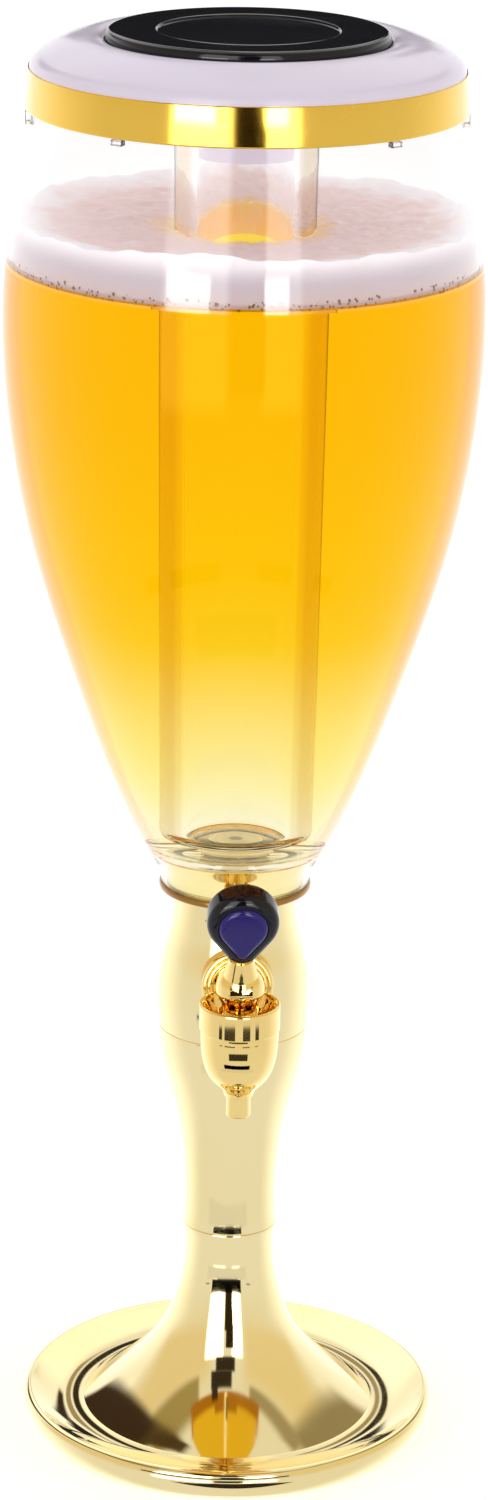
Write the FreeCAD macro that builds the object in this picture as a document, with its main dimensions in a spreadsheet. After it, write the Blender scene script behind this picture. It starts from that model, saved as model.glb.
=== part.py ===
import FreeCAD, Part
import math
import os
import Sketcher

# Beer tower dispenser: a clear goblet tank on a plated stem and foot, with a lever tap.
# Millimetres. +Z is up, the tap faces -Y, and the origin is the middle of the resting face.

SIZES = {
    # Foot: a flared, plated shell with a rolled lip.
    "seam_height": 84.0,
    "seam_radius": 18.7,
    "flare_waist_radius": 16.3,
    "flare_waist_height": -13.4,
    "flare_knee_radius": 20.9,
    "flare_knee_height": 50.2,
    "flare_skirt_radius": 28.8,
    "flare_skirt_height": 28.2,
    "valley_radius": 58.0,
    "valley_height": 6.5,
    "valley_rise_radius": 71.0,
    "valley_rise_height": 7.2,
    "crest_radius": 79.5,
    "crest_height": 12.0,
    "lip_radius": 83.4,
    "lip_height": 5.6,
    "lip_base_radius": 80.2,
    "lip_gap": 0.8,
    "foot_wall": 2.2,
    "web_height": -27.0,
    "web_thickness": 3.0,
    # Underside of the foot.
    "plate_thickness": 1.8,
    "plate_clearance": 0.3,
    "pad_ring_radius": 73.0,
    "pad_ring_width": 6.0,
    "pad_ring_depth": 0.6,
    "plate_screw_circle": 62.0,
    "plate_screw_radius": 1.5,
    "plate_screw_head_radius": 2.8,
    "plate_screw_head_height": 1.2,
    "plate_screw_length": 4.2,
    "plate_screw_count": 4.0,
    "screw_boss_radius": 3.4,
    "ballast_radius": 46.0,
    "ballast_rim_height": 5.0,
    "ballast_crown_radius": 24.0,
    "ballast_crown_height": 20.0,
    "ballast_boss_radius": 9.0,
    "tie_bolt_radius": 3.0,
    "tie_head_radius": 5.5,
    "tie_head_height": 4.0,
    "tie_recess_depth": 5.0,
    "tie_nut_radius": 5.0,
    "tie_nut_height": 5.0,
    "tie_washer_radius": 7.0,
    "tie_washer_thickness": 1.2,
    "bolt_clearance": 0.2,
    # Stem: a lower column and a bulbous head that carries the tap.
    "column_web_height": 17.0,
    "column_waist_radius": 17.5,
    "column_waist_height": 8.0,
    "column_flare_radius": 18.3,
    "column_flare_height": 45.0,
    "column_shoulder_radius": 28.9,
    "column_shoulder_height": -18.0,
    "bulge_seam_radius": 29.6,
    "bulge_seam_height": 85.0,
    "bulge_radius": 30.5,
    "bulge_height": 13.0,
    "bulge_shoulder_radius": 29.4,
    "bulge_shoulder_height": 29.0,
    "head_neck_radius": 22.6,
    "head_neck_height": -11.6,
    "head_top_radius": 25.4,
    "head_top_height": 56.6,
    "stem_wall": 2.4,
    "sleeve_wall": 2.4,
    "sleeve_engagement": 14.0,
    "joint_clearance": 0.05,
    # Collar between the stem and the tank.
    "collar_flange_radius": 29.6,
    "collar_flange_thickness": 2.8,
    "collar_wall": 2.0,
    "collar_spigot_drop": 12.0,
    "skirt_clearance": 0.4,
    # Tank.
    "tank_foot_radius": 28.9,
    "tank_wall": 2.2,
    "skirt_turn_radius": 30.4,
    "skirt_turn_height": 11.4,
    "floor_radius": 36.4,
    "floor_height": 20.4,
    "floor_thickness": 3.0,
    "bowl_low_radius": 45.5,
    "bowl_low_height": 15.3,
    "bowl_rise_radius": 66.1,
    "bowl_rise_height": 73.7,
    "bowl_belly_radius": 86.3,
    "bowl_belly_height": 136.1,
    "bowl_widest_radius": 94.6,
    "bowl_widest_height": -72.3,
    "bowl_shoulder_radius": 83.9,
    "bowl_shoulder_height": -34.0,
    "mouth_radius": 78.1,
    "mouth_height": 295.0,
    "stub_radius": 19.0,
    "stub_wall": 2.5,
    "stub_drop": 37.0,
    "stub_nut_wall": 2.6,
    "stub_nut_height": 4.5,
    "tank_gasket_thickness": 0.8,
    "nib_length": 5.0,
    "nib_height": 2.2,
    "nib_angle": 38.0,
    "lug_length": 16.0,
    "lug_height": 5.2,
    "stop_root_radius": 79.2,
    "stop_reach_radius": 82.3,
    "stop_clearance": 0.4,
    # Drain fitting and hose.
    "drain_disc_radius": 11.5,
    "drain_disc_thickness": 2.4,
    "drain_tube_radius": 5.0,
    "drain_bore_radius": 2.8,
    "drain_tail_radius": 4.1,
    "drain_tail_length": 8.0,
    "drain_nut_radius": 10.0,
    "drain_nut_height": 5.0,
    "drain_thread_length": 12.0,
    "drain_gasket_thickness": 1.0,
    "drain_hole_clearance": 0.2,
    "hose_wall": 1.9,
    "hose_bend_radius": 11.0,
    "hose_overlap": 6.0,
    "hose_clearance": 0.05,
    "clip_width": 3.0,
    "clip_thickness": 1.0,
    # Tap.
    "tap_reach": 48.0,
    "shank_height": 26.0,
    "shank_radius": 5.0,
    "shank_bore_radius": 2.8,
    "shank_end": 19.0,
    "shank_tail_length": 7.5,
    "shank_hole_clearance": 0.3,
    "escutcheon_radius": 14.0,
    "escutcheon_front": 31.9,
    "escutcheon_rim": 4.6,
    "escutcheon_dish": 0.5,
    "escutcheon_clearance": 0.1,
    "saddle_radius": 8.6,
    "saddle_front": 23.0,
    "shank_nut_radius": 8.0,
    "shank_nut_height": 3.4,
    "spout_tip_height": -46.5,
    "spout_radius": 4.8,
    "spout_length": 8.6,
    "spout_bore_radius": 3.5,
    "bell_neck_radius": 6.6,
    "bell_turn_radius": 11.6,
    "bell_turn_height": 14.1,
    "bell_side_radius": 15.3,
    "bell_side_height": 24.5,
    "band_bottom_height": -8.6,
    "band_radius": 15.6,
    "cup_rim_height": 46.5,
    "cup_rim_radius": 14.4,
    "dish_floor_radius": 9.4,
    "dish_floor_height": -6.4,
    "chamber_radius": 6.8,
    "seat_height": 15.1,
    "inlet_block_start": 10.2,
    "inlet_block_width": 12.0,
    "inlet_block_bottom": -19.0,
    "inlet_boss_radius": 8.0,
    "way_bottom": -16.6,
    "way_height": 3.6,
    "way_width": 7.0,
    "way_depth": 3.8,
    "way_start": 11.0,
    # Valve inside the tap.
    "gland_radius": 7.6,
    "gland_depth": 6.2,
    "gland_flange_radius": 9.2,
    "gland_flange_height": 3.2,
    "gland_land_radius": 6.4,
    "gland_land_height": 7.9,
    "spring_room_radius": 5.2,
    "spring_roof_height": 1.4,
    "spindle_radius": 2.0,
    "spindle_foot_radius": 3.0,
    "spindle_foot_height": 1.8,
    "spindle_collar_radius": 4.7,
    "spindle_collar_height": 8.4,
    "spindle_collar_thickness": 1.2,
    "tongue_thickness": 3.8,
    "tongue_width": 6.0,
    "tongue_top_reach": 2.6,
    "valve_cup_radius": 5.8,
    "valve_cup_height": 7.0,
    "valve_gap": 0.2,
    "spring_radius": 3.9,
    "spring_wire_radius": 0.45,
    "spring_turns": 5.0,
    "running_clearance": 0.05,
    # Lever and knob.
    "pin_radius": 1.2,
    "ball_radius": 9.4,
    "ball_cut": 2.0,
    "cam_radius": 4.4,
    "cam_offset": 5.0,
    "cam_clearance": 0.1,
    "cam_width": 8.6,
    "slot_clearance": 0.2,
    "lever_lean": 18.0,
    "neck_start": 5.0,
    "neck_start_radius": 7.0,
    "neck_end": 14.6,
    "neck_end_radius": 4.7,
    "neck_spigot_radius": 4.2,
    "neck_spigot_length": 2.0,
    "stud_radius": 1.9,
    "stud_length": 13.0,
    "knob_centre": 33.6,
    "knob_radius": 13.8,
    "knob_chin_centre": 22.0,
    "knob_chin_radius": 7.0,
    "knob_thickness": 13.0,
    "knob_edge_round": 4.0,
    "bezel_width": 4.2,
    "recess_depth": 2.4,
    "badge_clearance": 0.1,
    "badge_crown": 2.6,
    # Lid.
    "lid_skirt_bottom": -9.0,
    "lid_skirt_radius": 80.9,
    "lid_skirt_wall": 0.9,
    "lid_shoulder_height": 5.5,
    "lid_side_radius": 80.5,
    "lid_side_height": 10.4,
    "lid_turn_radius": 73.8,
    "lid_turn_height": 16.6,
    "lid_slope_radius": 70.4,
    "lid_slope_height": 17.8,
    "crown_outer_radius": 66.9,
    "crown_outer_height": 19.1,
    "crown_inner_radius": 57.1,
    "crown_inner_height": 19.2,
    "dip_radius": 53.4,
    "dip_height": 16.6,
    "recess_floor": 13.0,
    "lid_wall": 2.0,
    "sleeve_radius": 24.6,
    "lid_sleeve_wall": 2.2,
    "sleeve_bottom": -39.0,
    "band_bottom": -9.3,
    "band_top": 5.5,
    "band_bottom_wall": 1.75,
    "band_top_wall": 0.55,
    "band_clearance": 0.05,
    "liner_plate_thickness": 1.6,
    "liner_clearance": 0.3,
    "plug_ring_radius": 75.0,
    "plug_ring_wall": 1.8,
    "plug_ring_bottom": -8.0,
    "lid_seal_height": 4.0,
    "lid_seal_drop": 3.0,
    "seal_gap": 0.3,
    # Centre cap.
    "cap_edge_gap": 0.5,
    "cap_edge_height": 4.2,
    "cap_crown_radius": 44.0,
    "cap_crown_height": 7.0,
    "cap_step_radius": 34.0,
    "cap_step_depth": 0.9,
    "cap_cone_height": 6.6,
    "cap_thickness": 3.2,
    "cap_plug_wall": 1.8,
    "cap_plug_bottom": -13.0,
    "cap_plug_clearance": 0.3,
    "cap_seal_thickness": 0.7,
    "cap_seal_width": 4.0,
    # Ice tube.
    "tube_top_height": -5.0,
    "tube_top_radius": 27.4,
    "tube_bottom_radius": 23.4,
    "tube_bottom_height": 3.8,
    "tube_corner_height": 6.0,
    "tube_wall": 1.8,
    "tube_ring_radius": 0.75,
    "tube_ring_height": 16.0,
    "tube_ring_groove": 0.9,
}

# A height or level named here is measured up from the other, and the rest from the table top.
MEASURED_FROM = {
    "flare_waist_height": "seam_height",
    "web_height": "seam_height",
    "column_web_height": "seam_height",
    "column_waist_height": "seam_height",
    "column_flare_height": "seam_height",
    "column_shoulder_height": "bulge_seam_height",
    "bulge_seam_height": "seam_height",
    "bulge_height": "bulge_seam_height",
    "bulge_shoulder_height": "bulge_seam_height",
    "head_neck_height": "head_top_height",
    "head_top_height": "bulge_seam_height",
    "skirt_turn_height": "head_top_height",
    "floor_height": "head_top_height",
    "bowl_low_height": "floor_height",
    "bowl_rise_height": "floor_height",
    "bowl_belly_height": "floor_height",
    "bowl_widest_height": "mouth_height",
    "bowl_shoulder_height": "mouth_height",
    "mouth_height": "floor_height",
    "shank_height": "bulge_seam_height",
    "spout_tip_height": "shank_height",
    "bell_turn_height": "spout_tip_height",
    "bell_side_height": "spout_tip_height",
    "band_bottom_height": "cup_rim_height",
    "cup_rim_height": "spout_tip_height",
    "dish_floor_height": "cup_rim_height",
    "seat_height": "spout_tip_height",
    "inlet_block_bottom": "shank_height",
    "way_bottom": "shank_height",
    "gland_land_height": "dish_floor_height",
    "spring_roof_height": "dish_floor_height",
    "spindle_collar_height": "seat_height",
    "lid_skirt_bottom": "mouth_height",
    "lid_shoulder_height": "mouth_height",
    "lid_side_height": "mouth_height",
    "lid_turn_height": "mouth_height",
    "lid_slope_height": "mouth_height",
    "crown_outer_height": "mouth_height",
    "crown_inner_height": "mouth_height",
    "dip_height": "mouth_height",
    "recess_floor": "mouth_height",
    "sleeve_bottom": "recess_floor",
    "band_bottom": "mouth_height",
    "band_top": "mouth_height",
    "plug_ring_bottom": "mouth_height",
    "cap_edge_height": "recess_floor",
    "cap_crown_height": "recess_floor",
    "cap_cone_height": "recess_floor",
    "cap_plug_bottom": "recess_floor",
    "tube_top_height": "recess_floor",
    "tube_ring_height": "sleeve_bottom",
    "tube_bottom_height": "floor_height",
}


class Size:
    """A value with the sheet expression that gives it, so it can be drawn now and bound after."""

    def __init__(self, text, value):
        self.text = text
        self.value = value

    @staticmethod
    def of(item):
        """Give a plain number the same form as a size."""
        if isinstance(item, Size):
            return item
        return Size(f"{float(item):.6f}", float(item))

    def __add__(self, other):
        other = Size.of(other)
        return Size(f"({self.text} + {other.text})", self.value + other.value)

    def __sub__(self, other):
        other = Size.of(other)
        return Size(f"({self.text} - {other.text})", self.value - other.value)

    def __mul__(self, other):
        other = Size.of(other)
        return Size(f"({self.text} * {other.text})", self.value * other.value)

    def __truediv__(self, other):
        other = Size.of(other)
        return Size(f"({self.text} / {other.text})", self.value / other.value)

    def __neg__(self):
        return Size(f"(-1 * {self.text})", -self.value)

    def __radd__(self, other):
        return Size.of(other) + self

    def __rsub__(self, other):
        return Size.of(other) - self

    def __rmul__(self, other):
        return Size.of(other) * self


class Sheet:
    """The spreadsheet of driving dimensions; an attribute gives the size of that name."""

    def __init__(self, doc, sizes):
        self.values = sizes
        cells = doc.addObject("Spreadsheet::Sheet", "Sizes")
        for row, (name, value) in enumerate(sizes.items(), start=1):
            cells.set(f"A{row}", name.replace("_", " "))
            cells.set(f"B{row}", str(value))
            cells.setAlias(f"B{row}", name)
        doc.recompute()

    def __getattr__(self, name):
        size = Size(f"Sizes.{name}", self.values[name])
        if name in MEASURED_FROM:
            return getattr(self, MEASURED_FROM[name]) + size
        return size


class Outline:
    """A sketch on one of a body's own planes whose every point is tied to the sheet."""

    def __init__(self, body, role="XZ_Plane", offset=None):
        self.sketch = body.newObject("Sketcher::SketchObject", body.Name + "Outline")
        plane = next(item for item in body.Origin.OriginFeatures if item.Role == role)
        self.sketch.AttachmentSupport = [(plane, "")]
        self.sketch.MapMode = "FlatFace"
        if offset is not None:
            self.sketch.AttachmentOffset = FreeCAD.Placement(
                FreeCAD.Vector(0, 0, offset.value), FreeCAD.Rotation())
            self.sketch.setExpression("AttachmentOffset.Base.z", offset.text)

    def bind(self, kind, *args, size):
        """Add a dimension to the sketch and let the sheet drive it."""
        index = self.sketch.addConstraint(Sketcher.Constraint(kind, *args, size.value))
        self.sketch.setExpression(f"Constraints[{index}]", size.text)

    def pin_point(self, geometry, position, point):
        """Hold one point of the sketch at its place from the sketch's origin."""
        for kind, axis, size in (("DistanceX", -2, point[0]), ("DistanceY", -1, point[1])):
            size = Size.of(size)
            if size.value == 0.0:
                self.sketch.addConstraint(
                    Sketcher.Constraint("PointOnObject", geometry, position, axis))
            else:
                self.bind(kind, -1, 1, geometry, position, size=size)

    def loop(self, start, *pieces):
        """Draw a closed outline of lines and curves; a list of points is a curve's poles."""
        first = None
        last = None
        here = start
        for piece in pieces:
            poles = [here] + (piece if isinstance(piece, list) else [piece])
            spots = [FreeCAD.Vector(Size.of(x).value, Size.of(y).value, 0) for x, y in poles]
            if len(spots) == 2:
                edge = self.sketch.addGeometry(Part.LineSegment(*spots), False)
            else:
                edge = self.curve(spots)
                for place, pole in enumerate(poles[1:-1], start=edge + 2):
                    self.pin_point(place, 3, pole)
            self.pin_point(edge, 1, here)
            if last is not None:
                self.sketch.addConstraint(Sketcher.Constraint("Coincident", last, 2, edge, 1))
            first = edge if first is None else first
            last = edge
            here = poles[-1]
        self.sketch.addConstraint(Sketcher.Constraint("Coincident", last, 2, first, 1))
        return self

    def curve(self, spots):
        """Add a smooth curve through its end poles and towards the ones between them."""
        degree = min(3, len(spots) - 1)
        spans = len(spots) - degree
        knots = [index / spans for index in range(spans + 1)]
        counts = [degree + 1] + [1] * (spans - 1) + [degree + 1]
        shape = Part.BSplineCurve()
        shape.buildFromPolesMultsKnots(spots, counts, knots, False, degree)
        edge = self.sketch.addGeometry(shape, False)
        self.sketch.exposeInternalGeometry(edge)
        return edge

    def circle(self, x, y, radius):
        """Draw a circle about a point."""
        x, y, radius = Size.of(x), Size.of(y), Size.of(radius)
        middle = FreeCAD.Vector(x.value, y.value, 0)
        edge = self.sketch.addGeometry(
            Part.Circle(middle, FreeCAD.Vector(0, 0, 1), radius.value), False)
        self.pin_point(edge, 3, (x, y))
        self.bind("Radius", edge, size=radius)
        return self

    def polygon(self, sides, radius):
        """Draw a regular polygon of the given corner radius about the origin."""
        corners = [(radius * math.cos(2 * math.pi * turn / sides),
                    radius * math.sin(2 * math.pi * turn / sides)) for turn in range(sides)]
        corners = [(x, Size.of(0) if abs(y.value) < 1e-9 else y) for x, y in corners]
        return self.loop(corners[0], *corners[1:], corners[0])


def inset(poles, wall):
    """Move a curve's poles square to it by a wall's thickness, to the left of its direction."""
    moved = []
    for index, (x, y) in enumerate(poles):
        before = poles[max(index - 1, 0)]
        after = poles[min(index + 1, len(poles) - 1)]
        along_x = Size.of(after[0]).value - Size.of(before[0]).value
        along_y = Size.of(after[1]).value - Size.of(before[1]).value
        length = math.hypot(along_x, along_y)
        moved.append((x - wall * (along_y / length), y + wall * (along_x / length)))
    return moved


def new_body(doc, label):
    """Start a body whose label names its file."""
    body = doc.addObject("PartDesign::Body", "".join(word.title() for word in label.split("_")))
    body.Label = label
    return body


def turn(body, outline, groove=False, axis="V_Axis"):
    """Turn an outline about one of its sketch's axes, to add or to cut."""
    kind = "Groove" if groove else "Revolution"
    feature = body.newObject("PartDesign::" + kind, body.Name + kind)
    feature.Profile = outline.sketch
    feature.ReferenceAxis = (outline.sketch, [axis])
    feature.Angle = 360.0
    return feature


def turned(doc, label, start, *pieces):
    """Make a body by turning a closed outline of radii and heights about Z."""
    body = new_body(doc, label)
    turn(body, Outline(body).loop(start, *pieces))
    return body


def extrude(body, outline, length, both=False, down=False, cut=False):
    """Pad or pocket an outline."""
    kind = "Pocket" if cut else "Pad"
    feature = body.newObject("PartDesign::" + kind, body.Name + kind)
    feature.Profile = outline.sketch
    feature.Length = Size.of(length).value
    feature.setExpression("Length", Size.of(length).text)
    feature.Midplane = both
    feature.Reversed = down
    return feature


def primitive(body, kind, base=(0, 0, 0), turn_x=None, turn_y=0.0, **sizes):
    """Add or cut a primitive in a body; its place and its sizes come from the sheet."""
    feature = body.newObject("PartDesign::" + kind, body.Name + kind)
    feature.MapMode = "Deactivated"
    tilt = Size.of(turn_x if turn_x is not None else 0.0)
    place = [Size.of(item) for item in base]
    turned_by = FreeCAD.Rotation(FreeCAD.Vector(1, 0, 0), tilt.value)
    if turn_y:
        turned_by = FreeCAD.Rotation(FreeCAD.Vector(0, 1, 0), turn_y)
    feature.Placement = FreeCAD.Placement(
        FreeCAD.Vector(*(item.value for item in place)), turned_by)
    for letter, item in zip("xyz", place):
        feature.setExpression("Placement.Base." + letter, item.text)
    for name, item in sizes.items():
        item = Size.of(item)
        setattr(feature, name, item.value)
        feature.setExpression(name, item.text)
    return feature


def move(body, x=0.0, y=0.0, z=0.0):
    """Stand a body at a place that the sheet gives."""
    place = [Size.of(item) for item in (x, y, z)]
    body.Placement.Base = FreeCAD.Vector(*(item.value for item in place))
    for letter, item in zip("xyz", place):
        body.setExpression("Placement.Base." + letter, item.text)


def ring_of(body, feature, count):
    """Repeat a feature evenly about Z."""
    pattern = body.newObject("PartDesign::PolarPattern", body.Name + "Ring")
    pattern.Originals = [feature]
    axis = next(item for item in body.Origin.OriginFeatures if item.Role == "Z_Axis")
    pattern.Axis = (axis, [""])
    pattern.Angle = 360.0
    pattern.Occurrences = int(count.value)
    body.Tip = pattern
    return pattern


def hex_prism(doc, label, radius, height, bore, bottom):
    """Make a hexagonal nut with a plain bore, standing on a height."""
    body = new_body(doc, label)
    outline = Outline(body, "XY_Plane", bottom).polygon(6, radius)
    outline.circle(0, 0, bore)
    extrude(body, outline, height)
    return body


def ring(doc, label, inner, outer, bottom, top):
    """Make a plain flat or tall ring between two radii and two heights."""
    return turned(doc, label, (inner, bottom), (outer, bottom), (outer, top), (inner, top),
                  (inner, bottom))


# ---------------------------------------------------------------- foot and ballast

def flare_poles(s):
    """The plated flare, from the seam at the neck down to the valley."""
    return [(s.seam_radius, s.seam_height), (s.flare_waist_radius, s.flare_waist_height),
            (s.flare_knee_radius, s.flare_knee_height),
            (s.flare_skirt_radius, s.flare_skirt_height), (s.valley_radius, s.valley_height)]


def neck_bore(s):
    """The bore that the joining sleeve fits, inside the narrowest part of the flare."""
    return s.flare_waist_radius - s.foot_wall * 0.9 + 0.9


def plate_top(s):
    """The height of the base plate's upper face."""
    return s.lip_gap + s.plate_thickness


def foot_shell(doc, s):
    """The hollow foot with its rolled lip, the web that the tie bolt pulls on, and its bosses."""
    flare = flare_poles(s)
    rim = [(s.valley_radius, s.valley_height), (s.valley_rise_radius - 6.0, s.valley_height - 1.0),
           (s.valley_rise_radius, s.valley_rise_height), (s.crest_radius, s.crest_height)]
    under = inset(list(reversed(flare)), s.foot_wall)
    inner_lip = s.crest_radius - s.foot_wall * 0.7
    bore = neck_bore(s)
    web_top = s.web_height + s.web_thickness
    body = turned(
        doc, "foot_shell", (bore, s.seam_height), flare[0], flare[1:], rim[1:],
        [(s.lip_radius, s.crest_height - 1.0), (s.lip_radius, s.lip_height),
         (s.lip_base_radius, s.lip_gap)],
        (inner_lip, s.lip_gap), (inner_lip, plate_top(s)), (inner_lip - 1.2, plate_top(s)),
        [(inner_lip - 1.2, s.crest_height - s.foot_wall * 1.6),
         (s.valley_rise_radius, s.valley_rise_height - s.foot_wall * 1.15),
         (s.valley_rise_radius - 6.0, s.valley_height - s.foot_wall * 1.0),
         (s.valley_radius - s.foot_wall, s.valley_height - s.foot_wall)],
        [under[1], (under[2][0], under[2][1]), (bore, s.web_height - 4.0), (bore, s.web_height)],
        (s.tie_bolt_radius + s.bolt_clearance, s.web_height),
        (s.tie_bolt_radius + s.bolt_clearance, web_top), (bore, web_top),
        (bore, s.seam_height))
    boss = primitive(body, "AdditiveCylinder", base=(s.plate_screw_circle, 0, plate_top(s)),
                     Radius=s.screw_boss_radius, Height=s.valley_height - plate_top(s) - 1.0)
    ring_of(body, boss, s.plate_screw_count)
    hole = primitive(body, "SubtractiveCylinder", base=(s.plate_screw_circle, 0, 0),
                     Radius=s.plate_screw_radius, Height=s.lip_gap + s.plate_screw_length)
    ring_of(body, hole, s.plate_screw_count)
    return body


def base_plate(doc, s):
    """The plate that closes the foot from below, with a groove for the grip ring."""
    edge = s.crest_radius - s.foot_wall * 0.7 - s.plate_clearance
    groove_inner = s.pad_ring_radius - s.pad_ring_width / 2
    groove_outer = s.pad_ring_radius + s.pad_ring_width / 2
    groove_top = s.lip_gap + s.pad_ring_depth
    access = s.tie_head_radius + s.bolt_clearance + 1.0
    body = turned(doc, "base_plate", (access, s.lip_gap), (groove_inner, s.lip_gap),
                  (groove_inner, groove_top), (groove_outer, groove_top),
                  (groove_outer, s.lip_gap), (edge, s.lip_gap), (edge, plate_top(s)),
                  (access, plate_top(s)), (access, s.lip_gap))
    hole = primitive(body, "SubtractiveCylinder", base=(s.plate_screw_circle, 0, 0),
                     Radius=s.plate_screw_radius + s.bolt_clearance, Height=plate_top(s) + 1.0)
    ring_of(body, hole, s.plate_screw_count)
    sink = primitive(body, "SubtractiveCylinder", base=(s.plate_screw_circle, 0, 0),
                     Radius=s.plate_screw_head_radius + s.bolt_clearance,
                     Height=s.lip_gap + s.plate_screw_head_height)
    ring_of(body, sink, s.plate_screw_count)
    return body


def grip_ring(doc, s):
    """The rubber ring that the tower stands on."""
    half = s.pad_ring_width / 2 - s.joint_clearance
    return ring(doc, "grip_ring", s.pad_ring_radius - half, s.pad_ring_radius + half,
                Size.of(0), s.lip_gap + s.pad_ring_depth)


def plate_screws(doc, s):
    """The screws that hold the base plate to the foot's bosses."""
    body = new_body(doc, "plate_screws")
    head_top = s.lip_gap + s.plate_screw_head_height
    outline = Outline(body)
    middle = s.plate_screw_circle
    shank = s.plate_screw_radius - s.joint_clearance
    outline.loop((middle, s.lip_gap), (middle + s.plate_screw_head_radius, s.lip_gap),
                 (middle + s.plate_screw_head_radius, head_top), (middle + shank, head_top),
                 (middle + shank, s.lip_gap + s.plate_screw_length - 0.2),
                 (middle, s.lip_gap + s.plate_screw_length - 0.2), (middle, s.lip_gap))
    screw = body.newObject("PartDesign::Revolution", "Screw")
    screw.Profile = outline.sketch
    line = outline.sketch.GeometryCount
    spots = (FreeCAD.Vector(middle.value, -5, 0), FreeCAD.Vector(middle.value, 20, 0))
    outline.sketch.addGeometry(Part.LineSegment(*spots), True)
    outline.sketch.addConstraint(Sketcher.Constraint("Vertical", line))
    outline.bind("DistanceX", -1, 1, line, 1, size=middle)
    screw.ReferenceAxis = (outline.sketch, ["Axis0"])
    screw.Angle = 360.0
    ring_of(body, screw, s.plate_screw_count)
    return body


def ballast(doc, s):
    """The cast weight under the flare, with a boss that reaches the foot's web."""
    bottom = plate_top(s)
    bore = s.tie_bolt_radius + s.bolt_clearance
    recess = s.tie_head_radius + s.bolt_clearance
    roof = bottom + s.tie_recess_depth
    return turned(doc, "ballast", (recess, bottom), (s.ballast_radius, bottom),
                  (s.ballast_radius, bottom + s.ballast_rim_height),
                  (s.ballast_crown_radius, s.ballast_crown_height),
                  (s.ballast_boss_radius, s.ballast_crown_height + 8.0),
                  (s.ballast_boss_radius, s.web_height), (bore, s.web_height), (bore, roof),
                  (recess, roof), (recess, bottom))


def tie_bolt(doc, s):
    """The long bolt that pulls the stem down on the foot and carries the ballast."""
    body = new_body(doc, "tie_bolt")
    roof = plate_top(s) + s.tie_recess_depth
    seat = s.column_web_height + s.web_thickness
    extrude(body, Outline(body, "XY_Plane", roof - s.tie_head_height).polygon(
        6, s.tie_head_radius), s.tie_head_height)
    reach = seat + s.tie_washer_thickness + s.tie_nut_height + 2.0
    primitive(body, "AdditiveCylinder", base=(0, 0, roof), Radius=s.tie_bolt_radius,
              Height=reach - roof)
    return body


def tie_washer(doc, s):
    """The washer under the tie bolt's nut."""
    seat = s.column_web_height + s.web_thickness
    return ring(doc, "tie_washer", s.tie_bolt_radius + s.bolt_clearance, s.tie_washer_radius,
                seat, seat + s.tie_washer_thickness)


def tie_nut(doc, s):
    """The nut at the top of the tie bolt."""
    bottom = s.column_web_height + s.web_thickness + s.tie_washer_thickness
    return hex_prism(doc, "tie_nut", s.tie_nut_radius, s.tie_nut_height,
                     s.tie_bolt_radius + s.joint_clearance, bottom)


# ---------------------------------------------------------------- stem

def neck_sleeve(doc, s):
    """The sleeve inside the seam that lines the foot and the column up."""
    outer = neck_bore(s) - s.joint_clearance
    return ring(doc, "neck_sleeve", outer - s.sleeve_wall, outer,
                s.seam_height - s.sleeve_engagement, s.seam_height + s.sleeve_engagement)


def stem_column(doc, s):
    """The waisted lower half of the stem, with the web that takes the tie bolt's pull."""
    outer = [(s.seam_radius, s.seam_height), (s.column_waist_radius, s.column_waist_height),
             (s.column_flare_radius, s.column_flare_height),
             (s.column_shoulder_radius, s.column_shoulder_height),
             (s.bulge_seam_radius, s.bulge_seam_height)]
    bore = neck_bore(s)
    inner = inset(outer, s.stem_wall)
    web_top = s.column_web_height + s.web_thickness
    hole = s.tie_bolt_radius + s.bolt_clearance
    lip = s.bulge_seam_radius - s.stem_wall
    return turned(doc, "stem_column", (bore, s.seam_height), outer[0], outer[1:],
                  (lip, s.bulge_seam_height),
                  [inner[3], (bore, inner[2][1]), (bore, web_top)], (hole, web_top),
                  (hole, s.column_web_height), (bore, s.column_web_height),
                  (bore, s.seam_height))


def head_poles(s):
    """The outside of the stem's head, from the seam at the bulge up to the collar."""
    return [(s.bulge_seam_radius, s.bulge_seam_height), (s.bulge_radius, s.bulge_height),
            (s.bulge_shoulder_radius, s.bulge_shoulder_height),
            (s.head_neck_radius, s.head_neck_height), (s.head_top_radius, s.head_top_height)]


def head_room(s):
    """The inside of the stem's head, from the collar down to the seam at the bulge."""
    inner = inset(head_poles(s), s.stem_wall)
    return [(s.head_top_radius - s.stem_wall, s.head_top_height), inner[3], inner[2], inner[1],
            (s.bulge_seam_radius - s.stem_wall * 1.6, s.bulge_seam_height + 2.0)]


def stem_head(doc, s):
    """The bulbous upper half of the stem with the hole for the tap's shank."""
    outer = head_poles(s)
    room = head_room(s)
    lip = s.bulge_seam_radius - s.stem_wall
    tongue = room[-1][0]
    drop = s.bulge_seam_height - 5.0
    gap = s.joint_clearance
    body = turned(doc, "stem_head", outer[0], outer[1:],
                  room[0], room[1:],
                  (tongue, drop), (lip - gap - 0.6, drop), (lip - gap, s.bulge_seam_height),
                  outer[0])
    primitive(body, "SubtractiveCylinder", base=(0, 0, s.shank_height), turn_x=90.0,
              Radius=s.shank_radius + s.shank_hole_clearance, Height=s.tap_reach)
    return body


def collar_top(s):
    """The height of the collar's upper edge, under the tank's floor and its gasket."""
    return s.floor_height - s.floor_thickness - s.tank_gasket_thickness


def skirt_poles(s):
    """The outside of the tank's skirt, from the collar up to the floor."""
    return [(s.tank_foot_radius, flange_top(s)), (s.tank_foot_radius, s.skirt_turn_height - 4.0),
            (s.skirt_turn_radius + 1.4, s.skirt_turn_height), (s.floor_radius, s.floor_height)]


def flange_top(s):
    """The height at which the tank's skirt stands on the collar."""
    return s.head_top_height + s.collar_flange_thickness


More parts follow.
